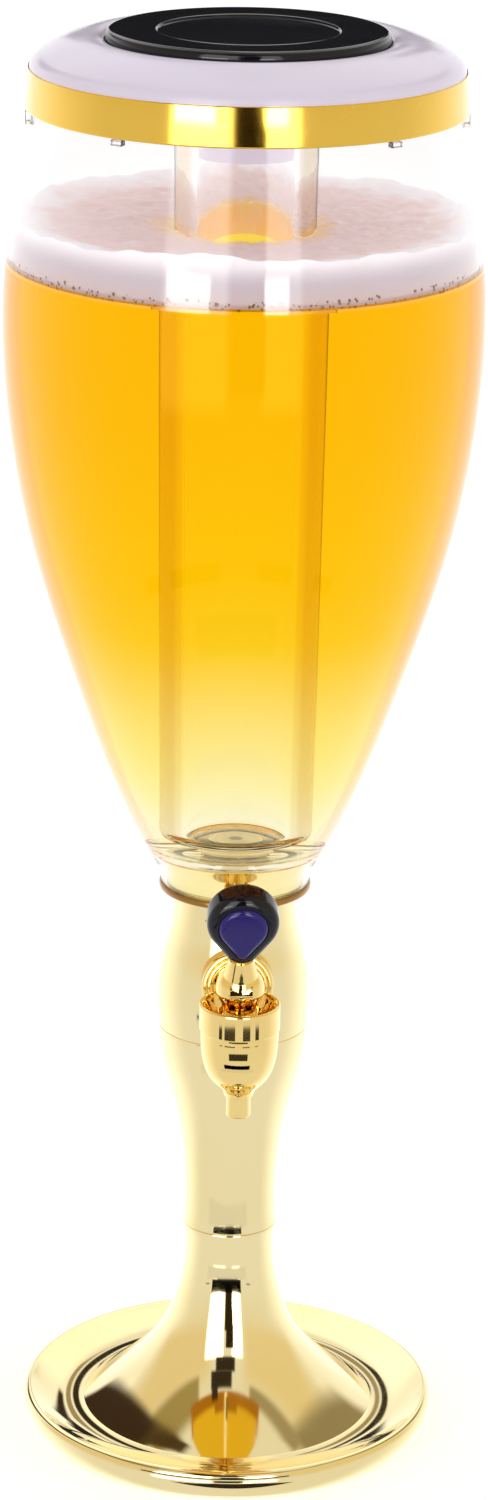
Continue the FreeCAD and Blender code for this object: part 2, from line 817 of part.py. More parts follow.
def stem_collar(doc, s):
    """The plated cup between stem and tank, with its flange, spigot and threaded bore."""
    skirt = inset(skirt_poles(s), s.tank_wall + s.skirt_clearance)
    top = collar_top(s)
    bore = s.stub_radius + s.joint_clearance
    spigot = s.head_neck_radius - s.stem_wall + 0.9
    spigot_bottom = s.head_top_height - s.collar_spigot_drop
    cup = skirt[3][0] - 2.2
    return turned(doc, "stem_collar", (bore, spigot_bottom), (spigot, spigot_bottom),
                  (spigot, s.head_top_height), (s.collar_flange_radius - 0.8, s.head_top_height),
                  [(s.collar_flange_radius + 0.4, s.head_top_height),
                   (s.collar_flange_radius + 0.4, flange_top(s)),
                   (s.collar_flange_radius - 0.8, flange_top(s))],
                  (skirt[0][0], flange_top(s)), [skirt[1], skirt[2], (cup, top)],
                  (cup - s.collar_wall, top),
                  [(skirt[0][0] - s.collar_wall, flange_top(s) + 3.0),
                   (bore + s.collar_wall, flange_top(s) + 2.0)],
                  (bore + s.collar_wall, top), (bore, top), (bore, spigot_bottom))


def tank_nut(doc, s):
    """The ring nut that holds the tank's stub down in the collar."""
    top = s.head_top_height - s.collar_spigot_drop
    inner = s.stub_radius + s.joint_clearance
    return ring(doc, "tank_nut", inner, inner + s.stub_nut_wall - 1.0, top - s.stub_nut_height, top)


def tank_gasket(doc, s):
    """The seal between the collar's inner rim and the tank's floor."""
    inner = s.stub_radius + s.joint_clearance
    return ring(doc, "tank_gasket", inner, inner + s.collar_wall, collar_top(s),
                s.floor_height - s.floor_thickness)


# ---------------------------------------------------------------- tank, drain and hose

def bowl_poles(s):
    """The outside of the bowl, from the floor up to the mouth."""
    return [(s.floor_radius, s.floor_height), (s.bowl_low_radius, s.bowl_low_height),
            (s.bowl_rise_radius, s.bowl_rise_height), (s.bowl_belly_radius, s.bowl_belly_height),
            (s.bowl_widest_radius, s.bowl_widest_height),
            (s.bowl_shoulder_radius, s.bowl_shoulder_height), (s.mouth_radius, s.mouth_height)]


def tank(doc, s):
    """The clear goblet with its floor, skirt, threaded stub and the nibs under the lid."""
    skirt = skirt_poles(s)
    under = inset(skirt, s.tank_wall)
    bowl = bowl_poles(s)
    inner = inset(bowl, s.tank_wall)
    floor_bottom = s.floor_height - s.floor_thickness
    hole = s.drain_tube_radius + s.drain_hole_clearance
    stub_bottom = floor_bottom - s.stub_drop
    stub_inner = s.stub_radius - s.stub_wall
    floor_edge = s.floor_radius - s.tank_wall * 1.1
    body = turned(
        doc, "tank", (hole, s.floor_height), (floor_edge, s.floor_height),
        inner[1:6] + [(s.mouth_radius - s.tank_wall, s.mouth_height)],
        bowl[6], list(reversed(bowl[:6])), list(reversed(skirt[:3])),
        (skirt[0][0] - s.tank_wall, flange_top(s)),
        [under[1], under[2], (under[3][0] - 2.0, floor_bottom)],
        (s.stub_radius, floor_bottom), (s.stub_radius, stub_bottom),
        (stub_inner, stub_bottom), (stub_inner, floor_bottom), (hole, floor_bottom),
        (hole, s.floor_height))
    top = s.band_bottom - s.stop_clearance
    for turn_by in (s.nib_angle.value, -s.nib_angle.value,
                    180.0 - s.nib_angle.value, s.nib_angle.value - 180.0):
        stop_block(body, s, turn_by, top, s.nib_length, s.nib_height)
    for turn_by in (90.0, -90.0):
        stop_block(body, s, turn_by, top, s.lug_length, s.lug_height)
    return body


def stop_block(body, s, turn_by, top, length, height):
    """Add a small block on the tank's shoulder, below the lid's edge."""
    block = body.newObject("PartDesign::AdditiveBox", "Stop")
    block.MapMode = "Deactivated"
    across = FreeCAD.Rotation(FreeCAD.Vector(0, 0, 1), turn_by - 90.0)
    start = s.stop_root_radius
    corner = across.multVec(FreeCAD.Vector(start.value, -length.value / 2, 0))
    block.Placement = FreeCAD.Placement(
        FreeCAD.Vector(corner.x, corner.y, (top - height).value), across)
    for name, item in (("Length", s.stop_reach_radius - start),
                       ("Width", length), ("Height", height)):
        setattr(block, name, item.value)
        block.setExpression(name, item.text)
    block.setExpression("Placement.Base.z", (top - height).text)


def drain_gasket(doc, s):
    """The seal under the drain fitting's disc."""
    return ring(doc, "drain_gasket", s.drain_tube_radius + s.joint_clearance,
                s.drain_disc_radius - 1.0, s.floor_height,
                s.floor_height + s.drain_gasket_thickness)


def drain_seat(s):
    """The height of the drain disc's underside."""
    return s.floor_height + s.drain_gasket_thickness


def thread_end(s):
    """The height at which the drain fitting's thread ends and its tail starts."""
    return s.floor_height - s.floor_thickness - s.drain_thread_length


def drain_fitting(doc, s):
    """The plated outlet in the tank's floor, with its thread and hose tail."""
    seat = drain_seat(s)
    top = seat + s.drain_disc_thickness
    tail_end = thread_end(s) - s.drain_tail_length
    return turned(doc, "drain_fitting", (s.drain_bore_radius, top - 0.8),
                  (s.drain_bore_radius + 1.2, top), (s.drain_disc_radius - 3.0, top),
                  [(s.drain_disc_radius, top), (s.drain_disc_radius, seat)],
                  (s.drain_tube_radius, seat), (s.drain_tube_radius, thread_end(s)),
                  (s.drain_tail_radius, thread_end(s)), (s.drain_tail_radius, tail_end),
                  (s.drain_bore_radius, tail_end), (s.drain_bore_radius, top - 0.8))


def drain_nut(doc, s):
    """The nut that clamps the drain fitting under the floor."""
    bottom = s.floor_height - s.floor_thickness - s.drain_nut_height
    return hex_prism(doc, "drain_nut", s.drain_nut_radius, s.drain_nut_height,
                     s.drain_tube_radius + s.joint_clearance, bottom)


def outlet_hose(doc, s):
    """The soft hose that turns from the drain fitting forward to the tap's tail."""
    body = new_body(doc, "outlet_hose")
    top = thread_end(s) - s.drain_tail_length + s.hose_overlap
    bend = s.hose_bend_radius
    front = s.shank_end - s.shank_tail_length + s.hose_overlap
    path = Outline(body, "YZ_Plane")
    turn_height = s.shank_height + bend
    lead = [FreeCAD.Vector(0, top.value, 0), FreeCAD.Vector(0, turn_height.value, 0)]
    run = [FreeCAD.Vector(-bend.value, s.shank_height.value, 0),
           FreeCAD.Vector(-front.value, s.shank_height.value, 0)]
    middle = FreeCAD.Vector(-bend.value, turn_height.value, 0)
    arc = Part.ArcOfCircle(Part.Circle(middle, FreeCAD.Vector(0, 0, 1), bend.value),
                           -math.pi / 2, 0.0)
    sketch = path.sketch
    sketch.addGeometry(Part.LineSegment(*lead), False)
    sketch.addGeometry(arc, False)
    sketch.addGeometry(Part.LineSegment(*run), False)
    sketch.addConstraint([
        Sketcher.Constraint("Coincident", 0, 2, 1, 2),
        Sketcher.Constraint("Coincident", 1, 1, 2, 1)])
    path.pin_point(0, 1, (0, top))
    path.pin_point(0, 2, (0, turn_height))
    path.pin_point(2, 1, (-bend, s.shank_height))
    path.pin_point(2, 2, (-front, s.shank_height))
    path.bind("Radius", 1, size=bend)
    inner = s.drain_tail_radius + s.hose_clearance
    section = Outline(body, "XY_Plane", top)
    section.circle(0, 0, inner + s.hose_wall).circle(0, 0, inner)
    hose = body.newObject("PartDesign::AdditivePipe", "Hose")
    hose.Profile = section.sketch
    hose.Spine = sketch
    return body


def hose_clip(doc, s, label, along):
    """A spring clip round one end of the hose."""
    body = new_body(doc, label)
    inner = s.drain_tail_radius + s.hose_clearance + s.hose_wall + s.hose_clearance
    outline = Outline(body, "XY_Plane").circle(0, 0, inner + s.clip_thickness)
    outline.circle(0, 0, inner)
    extrude(body, outline, s.clip_width)
    if along == "vertical":
        move(body, z=thread_end(s) - s.drain_tail_length + 1.5)
    else:
        body.Placement.Rotation = FreeCAD.Rotation(FreeCAD.Vector(1, 0, 0), 90.0)
        move(body, y=-(s.shank_end - s.shank_tail_length + 1.5), z=s.shank_height)
    return body


# ---------------------------------------------------------------- tap

def escutcheon(doc, s):
    """The round plate behind the tap, hollowed at the back to sit on the stem's head."""
    body = new_body(doc, "escutcheon")
    outline = Outline(body, "YZ_Plane")
    hole = s.shank_radius + s.shank_hole_clearance
    front = -s.escutcheon_front
    back = front + 10.0
    axis = s.shank_height
    rim = axis + s.escutcheon_radius
    dish = front + s.escutcheon_dish
    shoulder = rim - s.escutcheon_rim
    groove = rim - s.escutcheon_rim / 2
    outline.loop((back, axis + hole), (dish, axis + hole), (dish, shoulder),
                 [(front - 0.2, shoulder), (front - 0.2, groove), (dish, groove)],
                 [(front - 0.1, groove), (front - 0.1, rim), (front + 2.0, rim)],
                 (back, rim), (back, axis + hole))
    sketch = outline.sketch
    line = sketch.GeometryCount
    spots = (FreeCAD.Vector(-s.tap_reach.value, axis.value, 0), FreeCAD.Vector(0, axis.value, 0))
    sketch.addGeometry(Part.LineSegment(*spots), True)
    sketch.addConstraint(Sketcher.Constraint("Horizontal", line))
    outline.bind("DistanceY", -1, 1, line, 1, size=axis)
    plate = body.newObject("PartDesign::Revolution", "Plate")
    plate.Profile = sketch
    plate.ReferenceAxis = (sketch, ["Axis0"])
    plate.Angle = 360.0
    poles = inset(head_poles(s), -1.0 * s.escutcheon_clearance)
    core = Outline(body).loop((0, poles[0][1]), poles[0], poles[1:], (0, poles[-1][1]),
                              (0, poles[0][1]))
    turn(body, core, groove=True)
    return body


def shank_saddle(doc, s):
    """The spacer inside the head that gives the shank's nut a flat seat."""
    body = new_body(doc, "shank_saddle")
    poles = inset(head_room(s), -1.0 * s.escutcheon_clearance)
    outline = Outline(body, "XZ_Plane", s.saddle_front)
    outline.circle(0, s.shank_height, s.saddle_radius)
    outline.circle(0, s.shank_height, s.shank_radius + s.shank_hole_clearance)
    extrude(body, outline, Size.of(8.0))
    far = s.bulge_radius + 20.0
    skin = Outline(body).loop((far, poles[0][1]), poles[0], poles[1:], (far, poles[-1][1]),
                              (far, poles[0][1]))
    turn(body, skin, groove=True)
    return body


def shank_nut(doc, s):
    """The nut that pulls the tap against the head."""
    body = new_body(doc, "shank_nut")
    outline = Outline(body, "XY_Plane").polygon(6, s.shank_nut_radius)
    outline.circle(0, 0, s.shank_radius + s.joint_clearance)
    extrude(body, outline, s.shank_nut_height)
    body.Placement.Rotation = FreeCAD.Rotation(FreeCAD.Vector(1, 0, 0), 90.0)
    move(body, y=-(s.saddle_front - s.shank_nut_height), z=s.shank_height)
    return body


def tap_body(doc, s):
    """The bell-shaped tap: spout, bell, banded cup, inlet block, shank and drilled ways."""
    spout_top = s.spout_tip_height + s.spout_length
    rim = s.cup_rim_height
    body = turned(
        doc, "tap_body", (s.spout_bore_radius, s.spout_tip_height + 0.6),
        (s.spout_bore_radius + 0.4, s.spout_tip_height),
        (s.spout_radius - 0.4, s.spout_tip_height),
        (s.spout_radius, s.spout_tip_height + 0.5), (s.spout_radius, spout_top),
        (s.bell_neck_radius - 0.9, spout_top),
        [(s.bell_neck_radius, spout_top + 3.2), (s.bell_turn_radius, s.bell_turn_height),
         (s.bell_side_radius, s.bell_side_height),
         (s.bell_side_radius - 0.2, s.band_bottom_height)],
        (s.band_radius - 0.1, s.band_bottom_height), (s.band_radius, s.band_bottom_height + 0.4),
        (s.band_radius, rim - 0.8),
        [(s.band_radius, rim), (s.cup_rim_radius, rim)],
        [(s.cup_rim_radius - 1.6, rim - 1.4), (s.dish_floor_radius + 2.0, s.dish_floor_height + 0.4),
         (s.dish_floor_radius, s.dish_floor_height)],
        (s.gland_radius + s.joint_clearance, s.dish_floor_height),
        (s.gland_radius + s.joint_clearance, s.dish_floor_height - s.gland_depth),
        (s.chamber_radius, s.dish_floor_height - s.gland_depth),
        (s.chamber_radius, s.seat_height), (s.spout_bore_radius, s.seat_height),
        (s.spout_bore_radius, s.spout_tip_height + 0.6))
    block_end = s.tap_reach - s.escutcheon_front - 0.1
    depth = block_end - s.inlet_block_start
    primitive(body, "AdditiveBox",
              base=(s.inlet_block_width * -0.5, s.inlet_block_start, s.inlet_block_bottom),
              Length=s.inlet_block_width, Width=depth,
              Height=s.shank_height - s.inlet_block_bottom)
    primitive(body, "AdditiveCylinder", base=(0, block_end, s.shank_height), turn_x=90.0,
              Radius=s.inlet_boss_radius, Height=depth)
    shank_length = s.tap_reach - s.shank_end - block_end
    primitive(body, "AdditiveCylinder", base=(0, s.tap_reach - s.shank_end, s.shank_height),
              turn_x=90.0, Radius=s.shank_radius, Height=shank_length)
    tail_end = s.tap_reach - s.shank_end + s.shank_tail_length
    primitive(body, "AdditiveCylinder", base=(0, tail_end, s.shank_height), turn_x=90.0,
              Radius=s.drain_tail_radius, Height=s.shank_tail_length + 0.5)
    primitive(body, "SubtractiveCylinder", base=(0, tail_end, s.shank_height), turn_x=90.0,
              Radius=s.shank_bore_radius, Height=tail_end - s.way_start)
    way_side = s.way_width * -0.5
    primitive(body, "SubtractiveBox", base=(way_side, s.way_start, s.way_bottom),
              Length=s.way_width, Width=s.way_depth, Height=s.shank_height - s.way_bottom)
    primitive(body, "SubtractiveBox", base=(way_side, s.chamber_radius - 2.0, s.way_bottom),
              Length=s.way_width, Width=s.way_start - s.chamber_radius + 3.0,
              Height=s.way_height)
    move(body, y=-s.tap_reach)
    return body


def pin_height(s):
    """The lever pin's height: the cam hangs a hair above the gland when the tap is shut."""
    return s.gland_land_height + s.cam_radius + s.cam_clearance


def gland(doc, s):
    """The bonnet in the tap's cup: it guides the spindle and bears the lever's cam."""
    bottom = s.dish_floor_height - s.gland_depth
    top = s.gland_land_height
    stem = s.spindle_radius + s.running_clearance
    body = turned(doc, "gland", (s.spring_room_radius, bottom), (s.gland_radius, bottom),
                  (s.gland_radius, s.dish_floor_height),
                  (s.gland_land_radius, s.dish_floor_height), (s.gland_land_radius, top - 0.4),
                  (s.gland_land_radius - 0.4, top), (stem, top), (stem, s.spring_roof_height),
                  (s.spring_room_radius, s.spring_roof_height), (s.spring_room_radius, bottom))
    hexagon = Outline(body, "XY_Plane", s.dish_floor_height)
    hexagon.polygon(6, s.gland_flange_radius).circle(0, 0, s.gland_land_radius - 0.5)
    extrude(body, hexagon, s.gland_flange_height)
    move(body, y=-s.tap_reach)
    return body


def valve_spindle(doc, s):
    """The spindle that lifts the valve cup, with a spring collar and a flat tongue."""
    foot = s.seat_height + s.valve_gap + 0.8
    collar = s.spindle_collar_height
    tongue_bottom = s.gland_land_height + 0.6
    body = turned(doc, "valve_spindle", (0, foot), (s.spindle_foot_radius, foot),
                  (s.spindle_foot_radius, foot + s.spindle_foot_height),
                  (s.spindle_radius, foot + s.spindle_foot_height), (s.spindle_radius, collar),
                  (s.spindle_collar_radius, collar),
                  (s.spindle_collar_radius, collar + s.spindle_collar_thickness),
                  (s.spindle_radius, collar + s.spindle_collar_thickness),
                  (s.spindle_radius, tongue_bottom), (0, tongue_bottom), (0, foot))
    primitive(body, "AdditiveBox",
              base=(s.tongue_thickness * -0.5, s.tongue_width * -0.5, tongue_bottom),
              Length=s.tongue_thickness, Width=s.tongue_width,
              Height=pin_height(s) + s.tongue_top_reach - tongue_bottom)
    primitive(body, "SubtractiveCylinder", base=(-5.0, 0, pin_height(s)), turn_y=90.0,
              Radius=s.pin_radius + s.running_clearance, Height=10.0)
    move(body, y=-s.tap_reach)
    return body


def valve_cup(doc, s):
    """The silicone cup on the spindle's foot that closes the outlet."""
    bottom = s.seat_height + s.valve_gap
    foot = bottom + 0.8
    inner = s.spindle_foot_radius + s.joint_clearance
    stem = s.spindle_radius + s.joint_clearance
    shelf = foot + s.spindle_foot_height
    top = bottom + s.valve_cup_height
    body = turned(doc, "valve_cup", (0, bottom), (s.valve_cup_radius - 1.0, bottom),
                  (s.valve_cup_radius, bottom + 1.2), (s.valve_cup_radius - 0.6, top),
                  (stem, top), (stem, shelf), (inner, shelf), (inner, foot), (0, foot),
                  (0, bottom))
    move(body, y=-s.tap_reach)
    return body


def valve_spring(doc, s):
    """The coil spring that presses the valve cup on its seat."""
    bottom = s.spindle_collar_height + s.spindle_collar_thickness + s.spring_wire_radius + 0.05
    room = s.spring_roof_height - s.spring_wire_radius - 0.05 - bottom
    helix = Part.makeHelix(room.value / s.spring_turns.value, room.value, s.spring_radius.value)
    start = FreeCAD.Vector(s.spring_radius.value, 0, 0)
    wire = Part.Wire(Part.makeCircle(s.spring_wire_radius.value, start, FreeCAD.Vector(0, 1, 0)))
    spring = doc.addObject("Part::Feature", "ValveSpring")
    spring.Label = "valve_spring"
    spring.Shape = Part.Wire(helix).makePipeShell([wire], True, True)
    spring.Placement = FreeCAD.Placement(
        FreeCAD.Vector(0, -s.tap_reach.value, bottom.value), FreeCAD.Rotation())
    return spring


# ---------------------------------------------------------------- lever and knob

def lean(body, s):
    """Set a body's frame on the lever's pin, leaning forward with the lever."""
    body.Placement = FreeCAD.Placement(
        FreeCAD.Vector(0, -s.tap_reach.value, pin_height(s).value),
        FreeCAD.Rotation(FreeCAD.Vector(1, 0, 0), s.lever_lean.value))
    body.setExpression("Placement.Base.y", (-s.tap_reach).text)
    body.setExpression("Placement.Base.z", pin_height(s).text)
    body.setExpression("Placement.Rotation.Angle", s.lever_lean.text)


def upright(s, y, z):
    """Where a point given upright from the pin lies in the leaning frame."""
    angle = math.radians(s.lever_lean.value)
    y, z = Size.of(y), Size.of(z)
    return (y * math.cos(angle) + z * math.sin(angle), z * math.cos(angle) - y * math.sin(angle))


def tap_lever(doc, s):
    """The lever: a ball on the pin with a cam below it and a neck up to the knob."""
    body = new_body(doc, "tap_lever")
    primitive(body, "AdditiveSphere", Radius=s.ball_radius)
    primitive(body, "AdditiveCone", base=(0, 0, s.neck_start), Radius1=s.neck_start_radius,
              Radius2=s.neck_end_radius, Height=s.neck_end - s.neck_start)
    primitive(body, "AdditiveCylinder", base=(0, 0, s.neck_end - 1.0),
              Radius=s.neck_spigot_radius, Height=s.neck_spigot_length + 1.0)
    turned_back = -1.0 * s.lever_lean
    side = s.ball_radius + 1.0
    low_y, low_z = upright(s, -1.0 * side, -1.0 * (s.ball_cut + 12.0))
    primitive(body, "SubtractiveBox", base=(-1.0 * side, low_y, low_z), turn_x=turned_back,
              Length=side * 2, Width=side * 2, Height=Size.of(12.0))
    cam_y, cam_z = upright(s, -1.0 * s.cam_offset, 0)
    primitive(body, "AdditiveCylinder", base=(s.cam_width * -0.5, cam_y, cam_z), turn_y=90.0,
              Radius=s.cam_radius, Height=s.cam_width)
    slot = s.tongue_thickness + s.slot_clearance * 2
    slot_y, slot_z = upright(s, -6.0, -6.0)
    primitive(body, "SubtractiveBox", base=(slot * -0.5, slot_y, slot_z), turn_x=turned_back,
              Length=slot, Width=Size.of(11.6), Height=Size.of(11.0))
    primitive(body, "SubtractiveCylinder", base=(-1.0 * side, 0, 0), turn_y=90.0,
              Radius=s.pin_radius + s.joint_clearance / 2, Height=side * 2)
    primitive(body, "SubtractiveCylinder",
              base=(0, 0, s.neck_end - s.stud_length / 2), Radius=s.stud_radius,
              Height=s.stud_length)
    lean(body, s)
    return body


def lever_pin(doc, s):
    """The pin through the lever's ball and the spindle's tongue."""
    body = new_body(doc, "lever_pin")
    half = s.ball_radius - 0.2
    primitive(body, "AdditiveCylinder", base=(-1.0 * half, 0, 0), turn_y=90.0,
              Radius=s.pin_radius, Height=half * 2)
    move(body, y=-s.tap_reach, z=pin_height(s))
    return body


def knob_stud(doc, s):
    """The threaded stud that joins the knob to the lever's neck."""
    body = new_body(doc, "knob_stud")
    primitive(body, "AdditiveCylinder", base=(0, 0, s.neck_end - s.stud_length / 2),
              Radius=s.stud_radius, Height=s.stud_length)
    lean(body, s)
    return body


def egg(outline, s, shrink):
    """Draw the knob's outline: a wide round top and a narrow round chin, joined by tangents."""
    top = s.knob_radius - shrink
    chin = s.knob_chin_radius - shrink
    rise = (s.knob_centre - s.knob_chin_centre).value
    slope = math.asin((top.value - chin.value) / rise)
    side, lift = math.cos(slope), -math.sin(slope)
    sketch = outline.sketch
    ends = []
    for middle, radius in ((s.knob_centre, top), (s.knob_chin_centre, chin)):
        ends.append([(radius * (side * hand), middle + radius * lift) for hand in (1, -1)])
    up = FreeCAD.Vector(0, 0, 1)
    top_middle = FreeCAD.Vector(0, s.knob_centre.value, 0)
    chin_middle = FreeCAD.Vector(0, s.knob_chin_centre.value, 0)
    low = -slope
    sketch.addGeometry(Part.ArcOfCircle(
        Part.Circle(top_middle, up, top.value), low, math.pi + slope), False)
    sketch.addGeometry(Part.ArcOfCircle(
        Part.Circle(chin_middle, up, chin.value), math.pi + slope, 2 * math.pi - slope), False)
    spots = [[FreeCAD.Vector(x.value, y.value, 0) for x, y in pair] for pair in ends]
    sketch.addGeometry(Part.LineSegment(spots[0][1], spots[1][1]), False)
    sketch.addGeometry(Part.LineSegment(spots[1][0], spots[0][0]), False)
    sketch.addConstraint([
        Sketcher.Constraint("Coincident", 0, 2, 2, 1), Sketcher.Constraint("Coincident", 2, 2, 1, 1),
        Sketcher.Constraint("Coincident", 1, 2, 3, 1), Sketcher.Constraint("Coincident", 3, 2, 0, 1)])
    outline.pin_point(2, 1, ends[0][1])
    outline.pin_point(2, 2, ends[1][1])
    outline.pin_point(3, 1, ends[1][0])
    outline.pin_point(3, 2, ends[0][0])
    outline.bind("Radius", 0, size=top)
    outline.bind("Radius", 1, size=chin)
    return outline


def knob_body(doc, s):
    """The plated knob with a recess for the badge in its front."""
    body = new_body(doc, "knob_body")
    half = s.knob_thickness / 2
    blank = extrude(body, egg(Outline(body, "XZ_Plane", -1.0 * half), s, Size.of(0)),
                    s.knob_thickness)
    round_edges(body, blank, s.knob_edge_round)
    front = Outline(body, "XZ_Plane", half - s.recess_depth)
    extrude(body, egg(front, s, s.bezel_width), s.recess_depth + 1.0, cut=True, down=True)
    primitive(body, "SubtractiveCylinder", base=(0, 0, s.neck_end - s.stud_length / 2),
              Radius=s.stud_radius, Height=s.stud_length)
    primitive(body, "SubtractiveCylinder", base=(0, 0, s.neck_end - 4.0),
              Radius=s.neck_spigot_radius + s.joint_clearance,
              Height=s.neck_spigot_length + 4.0)
    lean(body, s)
    return body


def knob_badge(doc, s):
    """The plain domed badge in the knob's front."""
    body = new_body(doc, "knob_badge")
    half = s.knob_thickness / 2
    plate = extrude(body, egg(Outline(body, "XZ_Plane", half - s.recess_depth), s,
                              s.bezel_width + s.badge_clearance),
                    s.recess_depth + s.badge_crown - 1.0)
    round_edges(body, plate, s.badge_crown, front_only=half.value)
    lean(body, s)
    return body


def round_edges(body, feature, radius, front_only=None):
    """Round the outer edges of a padded outline, on both faces or on the front one only."""
    body.Document.recompute()
    names = []
    for index, edge in enumerate(feature.Shape.Edges, start=1):
        spread = edge.BoundBox
        flat = spread.YLength < 1e-6
        if flat and (front_only is None or spread.YMin < -front_only + 1e-6):
            names.append(f"Edge{index}")
    fillet = body.newObject("PartDesign::Fillet", body.Name + "Fillet")
    fillet.Base = (feature, names)
    fillet.Radius = radius.value
    fillet.setExpression("Radius", radius.text)
    return fillet


# ---------------------------------------------------------------- lid, cap and ice tube

def lid_crown_poles(s):
    """The outside of the lid, from its shoulder over the crown down to the cap's seat."""
    return [(s.lid_skirt_radius, s.lid_shoulder_height), (s.lid_side_radius, s.lid_side_height),
            (s.lid_turn_radius, s.lid_turn_height), (s.lid_slope_radius, s.lid_slope_height),
            (s.crown_outer_radius, s.crown_outer_height),
            (s.crown_inner_radius, s.crown_inner_height), (s.dip_radius, s.dip_height)]


def lid_shell(doc, s):
    """The white lid: skirt, crown, seat for the cap and the sleeve that holds the ice tube."""
    crown = lid_crown_poles(s)
    inner = list(reversed(inset(crown, s.lid_wall)))
    skirt_in = s.lid_skirt_radius - s.lid_skirt_wall
    sleeve_in = s.sleeve_radius - s.lid_sleeve_wall
    under = s.recess_floor - s.lid_wall
    groove = s.sleeve_radius - s.tube_ring_groove
    ring_low = s.tube_ring_height - s.tube_ring_radius - 0.1
    ring_high = s.tube_ring_height + s.tube_ring_radius + 0.1
    return turned(
        doc, "lid_shell", (s.lid_skirt_radius, s.lid_skirt_bottom),
        crown[0], crown[1:],
        (s.dip_radius, s.recess_floor), (sleeve_in, s.recess_floor), (sleeve_in, s.sleeve_bottom),
        (s.sleeve_radius, s.sleeve_bottom), (s.sleeve_radius, ring_low), (groove, ring_low),
        (groove, ring_high), (s.sleeve_radius, ring_high), (s.sleeve_radius, under),
        (s.dip_radius + s.lid_wall, under),
        [(s.dip_radius + s.lid_wall + 1.0, inner[1][1]), inner[2], inner[3], inner[4],
         (skirt_in - s.lid_wall * 0.6, inner[5][1]), (skirt_in, s.lid_shoulder_height)],
        (skirt_in, s.lid_skirt_bottom), (s.lid_skirt_radius, s.lid_skirt_bottom))


def lid_band(doc, s):
    """The plated band round the lid's skirt."""
    inner = s.lid_skirt_radius + s.band_clearance
    low = inner + s.band_bottom_wall
    high = inner + s.band_top_wall
    return turned(doc, "lid_band", (inner, s.band_bottom), (low - 0.5, s.band_bottom),
                  [(low, s.band_bottom), (low, s.band_bottom + 0.8)],
                  (high, s.band_top - 0.3), (high - 0.2, s.band_top),
                  (inner, s.band_top), (inner, s.band_bottom))


def liner_top(s):
    """The height of the liner's upper face, under the lid's shoulder."""
    return s.mouth_height + s.liner_clearance + s.liner_plate_thickness


def lid_liner(doc, s):
    """The inner ring of the lid: a flange over the mouth and a plug ring inside it."""
    outer = s.lid_skirt_radius - s.lid_skirt_wall - s.joint_clearance
    bottom = s.mouth_height + s.liner_clearance
    plug_in = s.plug_ring_radius - s.plug_ring_wall
    seal_top = s.plug_ring_bottom + s.lid_seal_drop + s.lid_seal_height
    return turned(doc, "lid_liner", (plug_in, s.plug_ring_bottom),
                  (s.plug_ring_radius, s.plug_ring_bottom), (s.plug_ring_radius, seal_top),
                  (s.plug_ring_radius, bottom), (outer, bottom), (outer, liner_top(s)),
                  (plug_in, liner_top(s)), (plug_in, s.plug_ring_bottom))


def lid_seal(doc, s):
    """The soft ring that seals the lid's plug in the tank's mouth."""
    bottom = s.plug_ring_bottom + s.lid_seal_drop
    lip = s.mouth_radius - s.tank_wall - s.seal_gap
    inner = s.plug_ring_radius
    return turned(doc, "lid_seal", (inner, bottom), (lip - 0.2, bottom),
                  (lip, bottom + 0.6), (lip - 0.3, bottom + s.lid_seal_height / 2),
                  (lip, bottom + s.lid_seal_height - 0.6),
                  (lip - 0.2, bottom + s.lid_seal_height), (inner, bottom + s.lid_seal_height),
                  (inner, bottom))


def centre_cap(doc, s):
    """The black cap: a crowned ring round a shallow cone, with a plug for the sleeve."""
    edge = s.dip_radius - s.cap_edge_gap
    seat = s.recess_floor + s.cap_seal_thickness
    plug = s.sleeve_radius - s.lid_sleeve_wall - s.cap_plug_clearance
    plug_in = plug - s.cap_plug_wall
    ceiling = s.cap_crown_height - s.cap_step_depth - s.cap_thickness
    return turned(doc, "centre_cap", (0, s.cap_cone_height),
                  (s.cap_step_radius - 0.4, s.cap_crown_height - s.cap_step_depth - 0.9),
                  (s.cap_step_radius, s.cap_crown_height - s.cap_step_depth),
                  (s.cap_step_radius + 0.3, s.cap_crown_height - 0.2),
                  [(s.cap_crown_radius - 2.0, s.cap_crown_height + 0.1),
                   (edge - 2.0, s.cap_crown_height - 0.4), (edge, s.cap_edge_height)],
                  (edge, seat), (plug, seat), (plug, s.cap_plug_bottom),
                  (plug_in, s.cap_plug_bottom), (plug_in, ceiling), (0, ceiling),
                  (0, s.cap_cone_height))


def cap_seal(doc, s):
    """The flat seal between the cap and its seat."""
    inner = s.dip_radius - s.cap_edge_gap - s.cap_seal_width
    return ring(doc, "cap_seal", inner, inner + s.cap_seal_width - 0.4, s.recess_floor + 0.3,
                s.recess_floor + s.cap_seal_thickness)


def ice_tube(doc, s):
    """The clear tube for ice that hangs from the lid's sleeve into the tank."""
    outer = [(s.tube_top_radius, s.tube_top_height), (s.tube_bottom_radius,
                                                      s.tube_bottom_height + s.tube_corner_height)]
    corner = s.tube_corner_height
    bore = s.sleeve_radius + s.tube_ring_radius * 2 - s.tube_ring_groove
    inner_bottom = s.tube_bottom_radius - s.tube_wall
    floor = s.tube_bottom_height + s.tube_wall
    return turned(doc, "ice_tube", (0, s.tube_bottom_height),
                  (s.tube_bottom_radius - corner, s.tube_bottom_height),
                  [(s.tube_bottom_radius, s.tube_bottom_height), outer[1]],
                  outer[0], (bore, s.tube_top_height), (bore, s.sleeve_bottom - 4.0),
                  (inner_bottom, s.tube_bottom_height + corner),
                  [(inner_bottom, floor), (s.tube_bottom_radius - corner, floor)], (0, floor),
                  (0, s.tube_bottom_height))


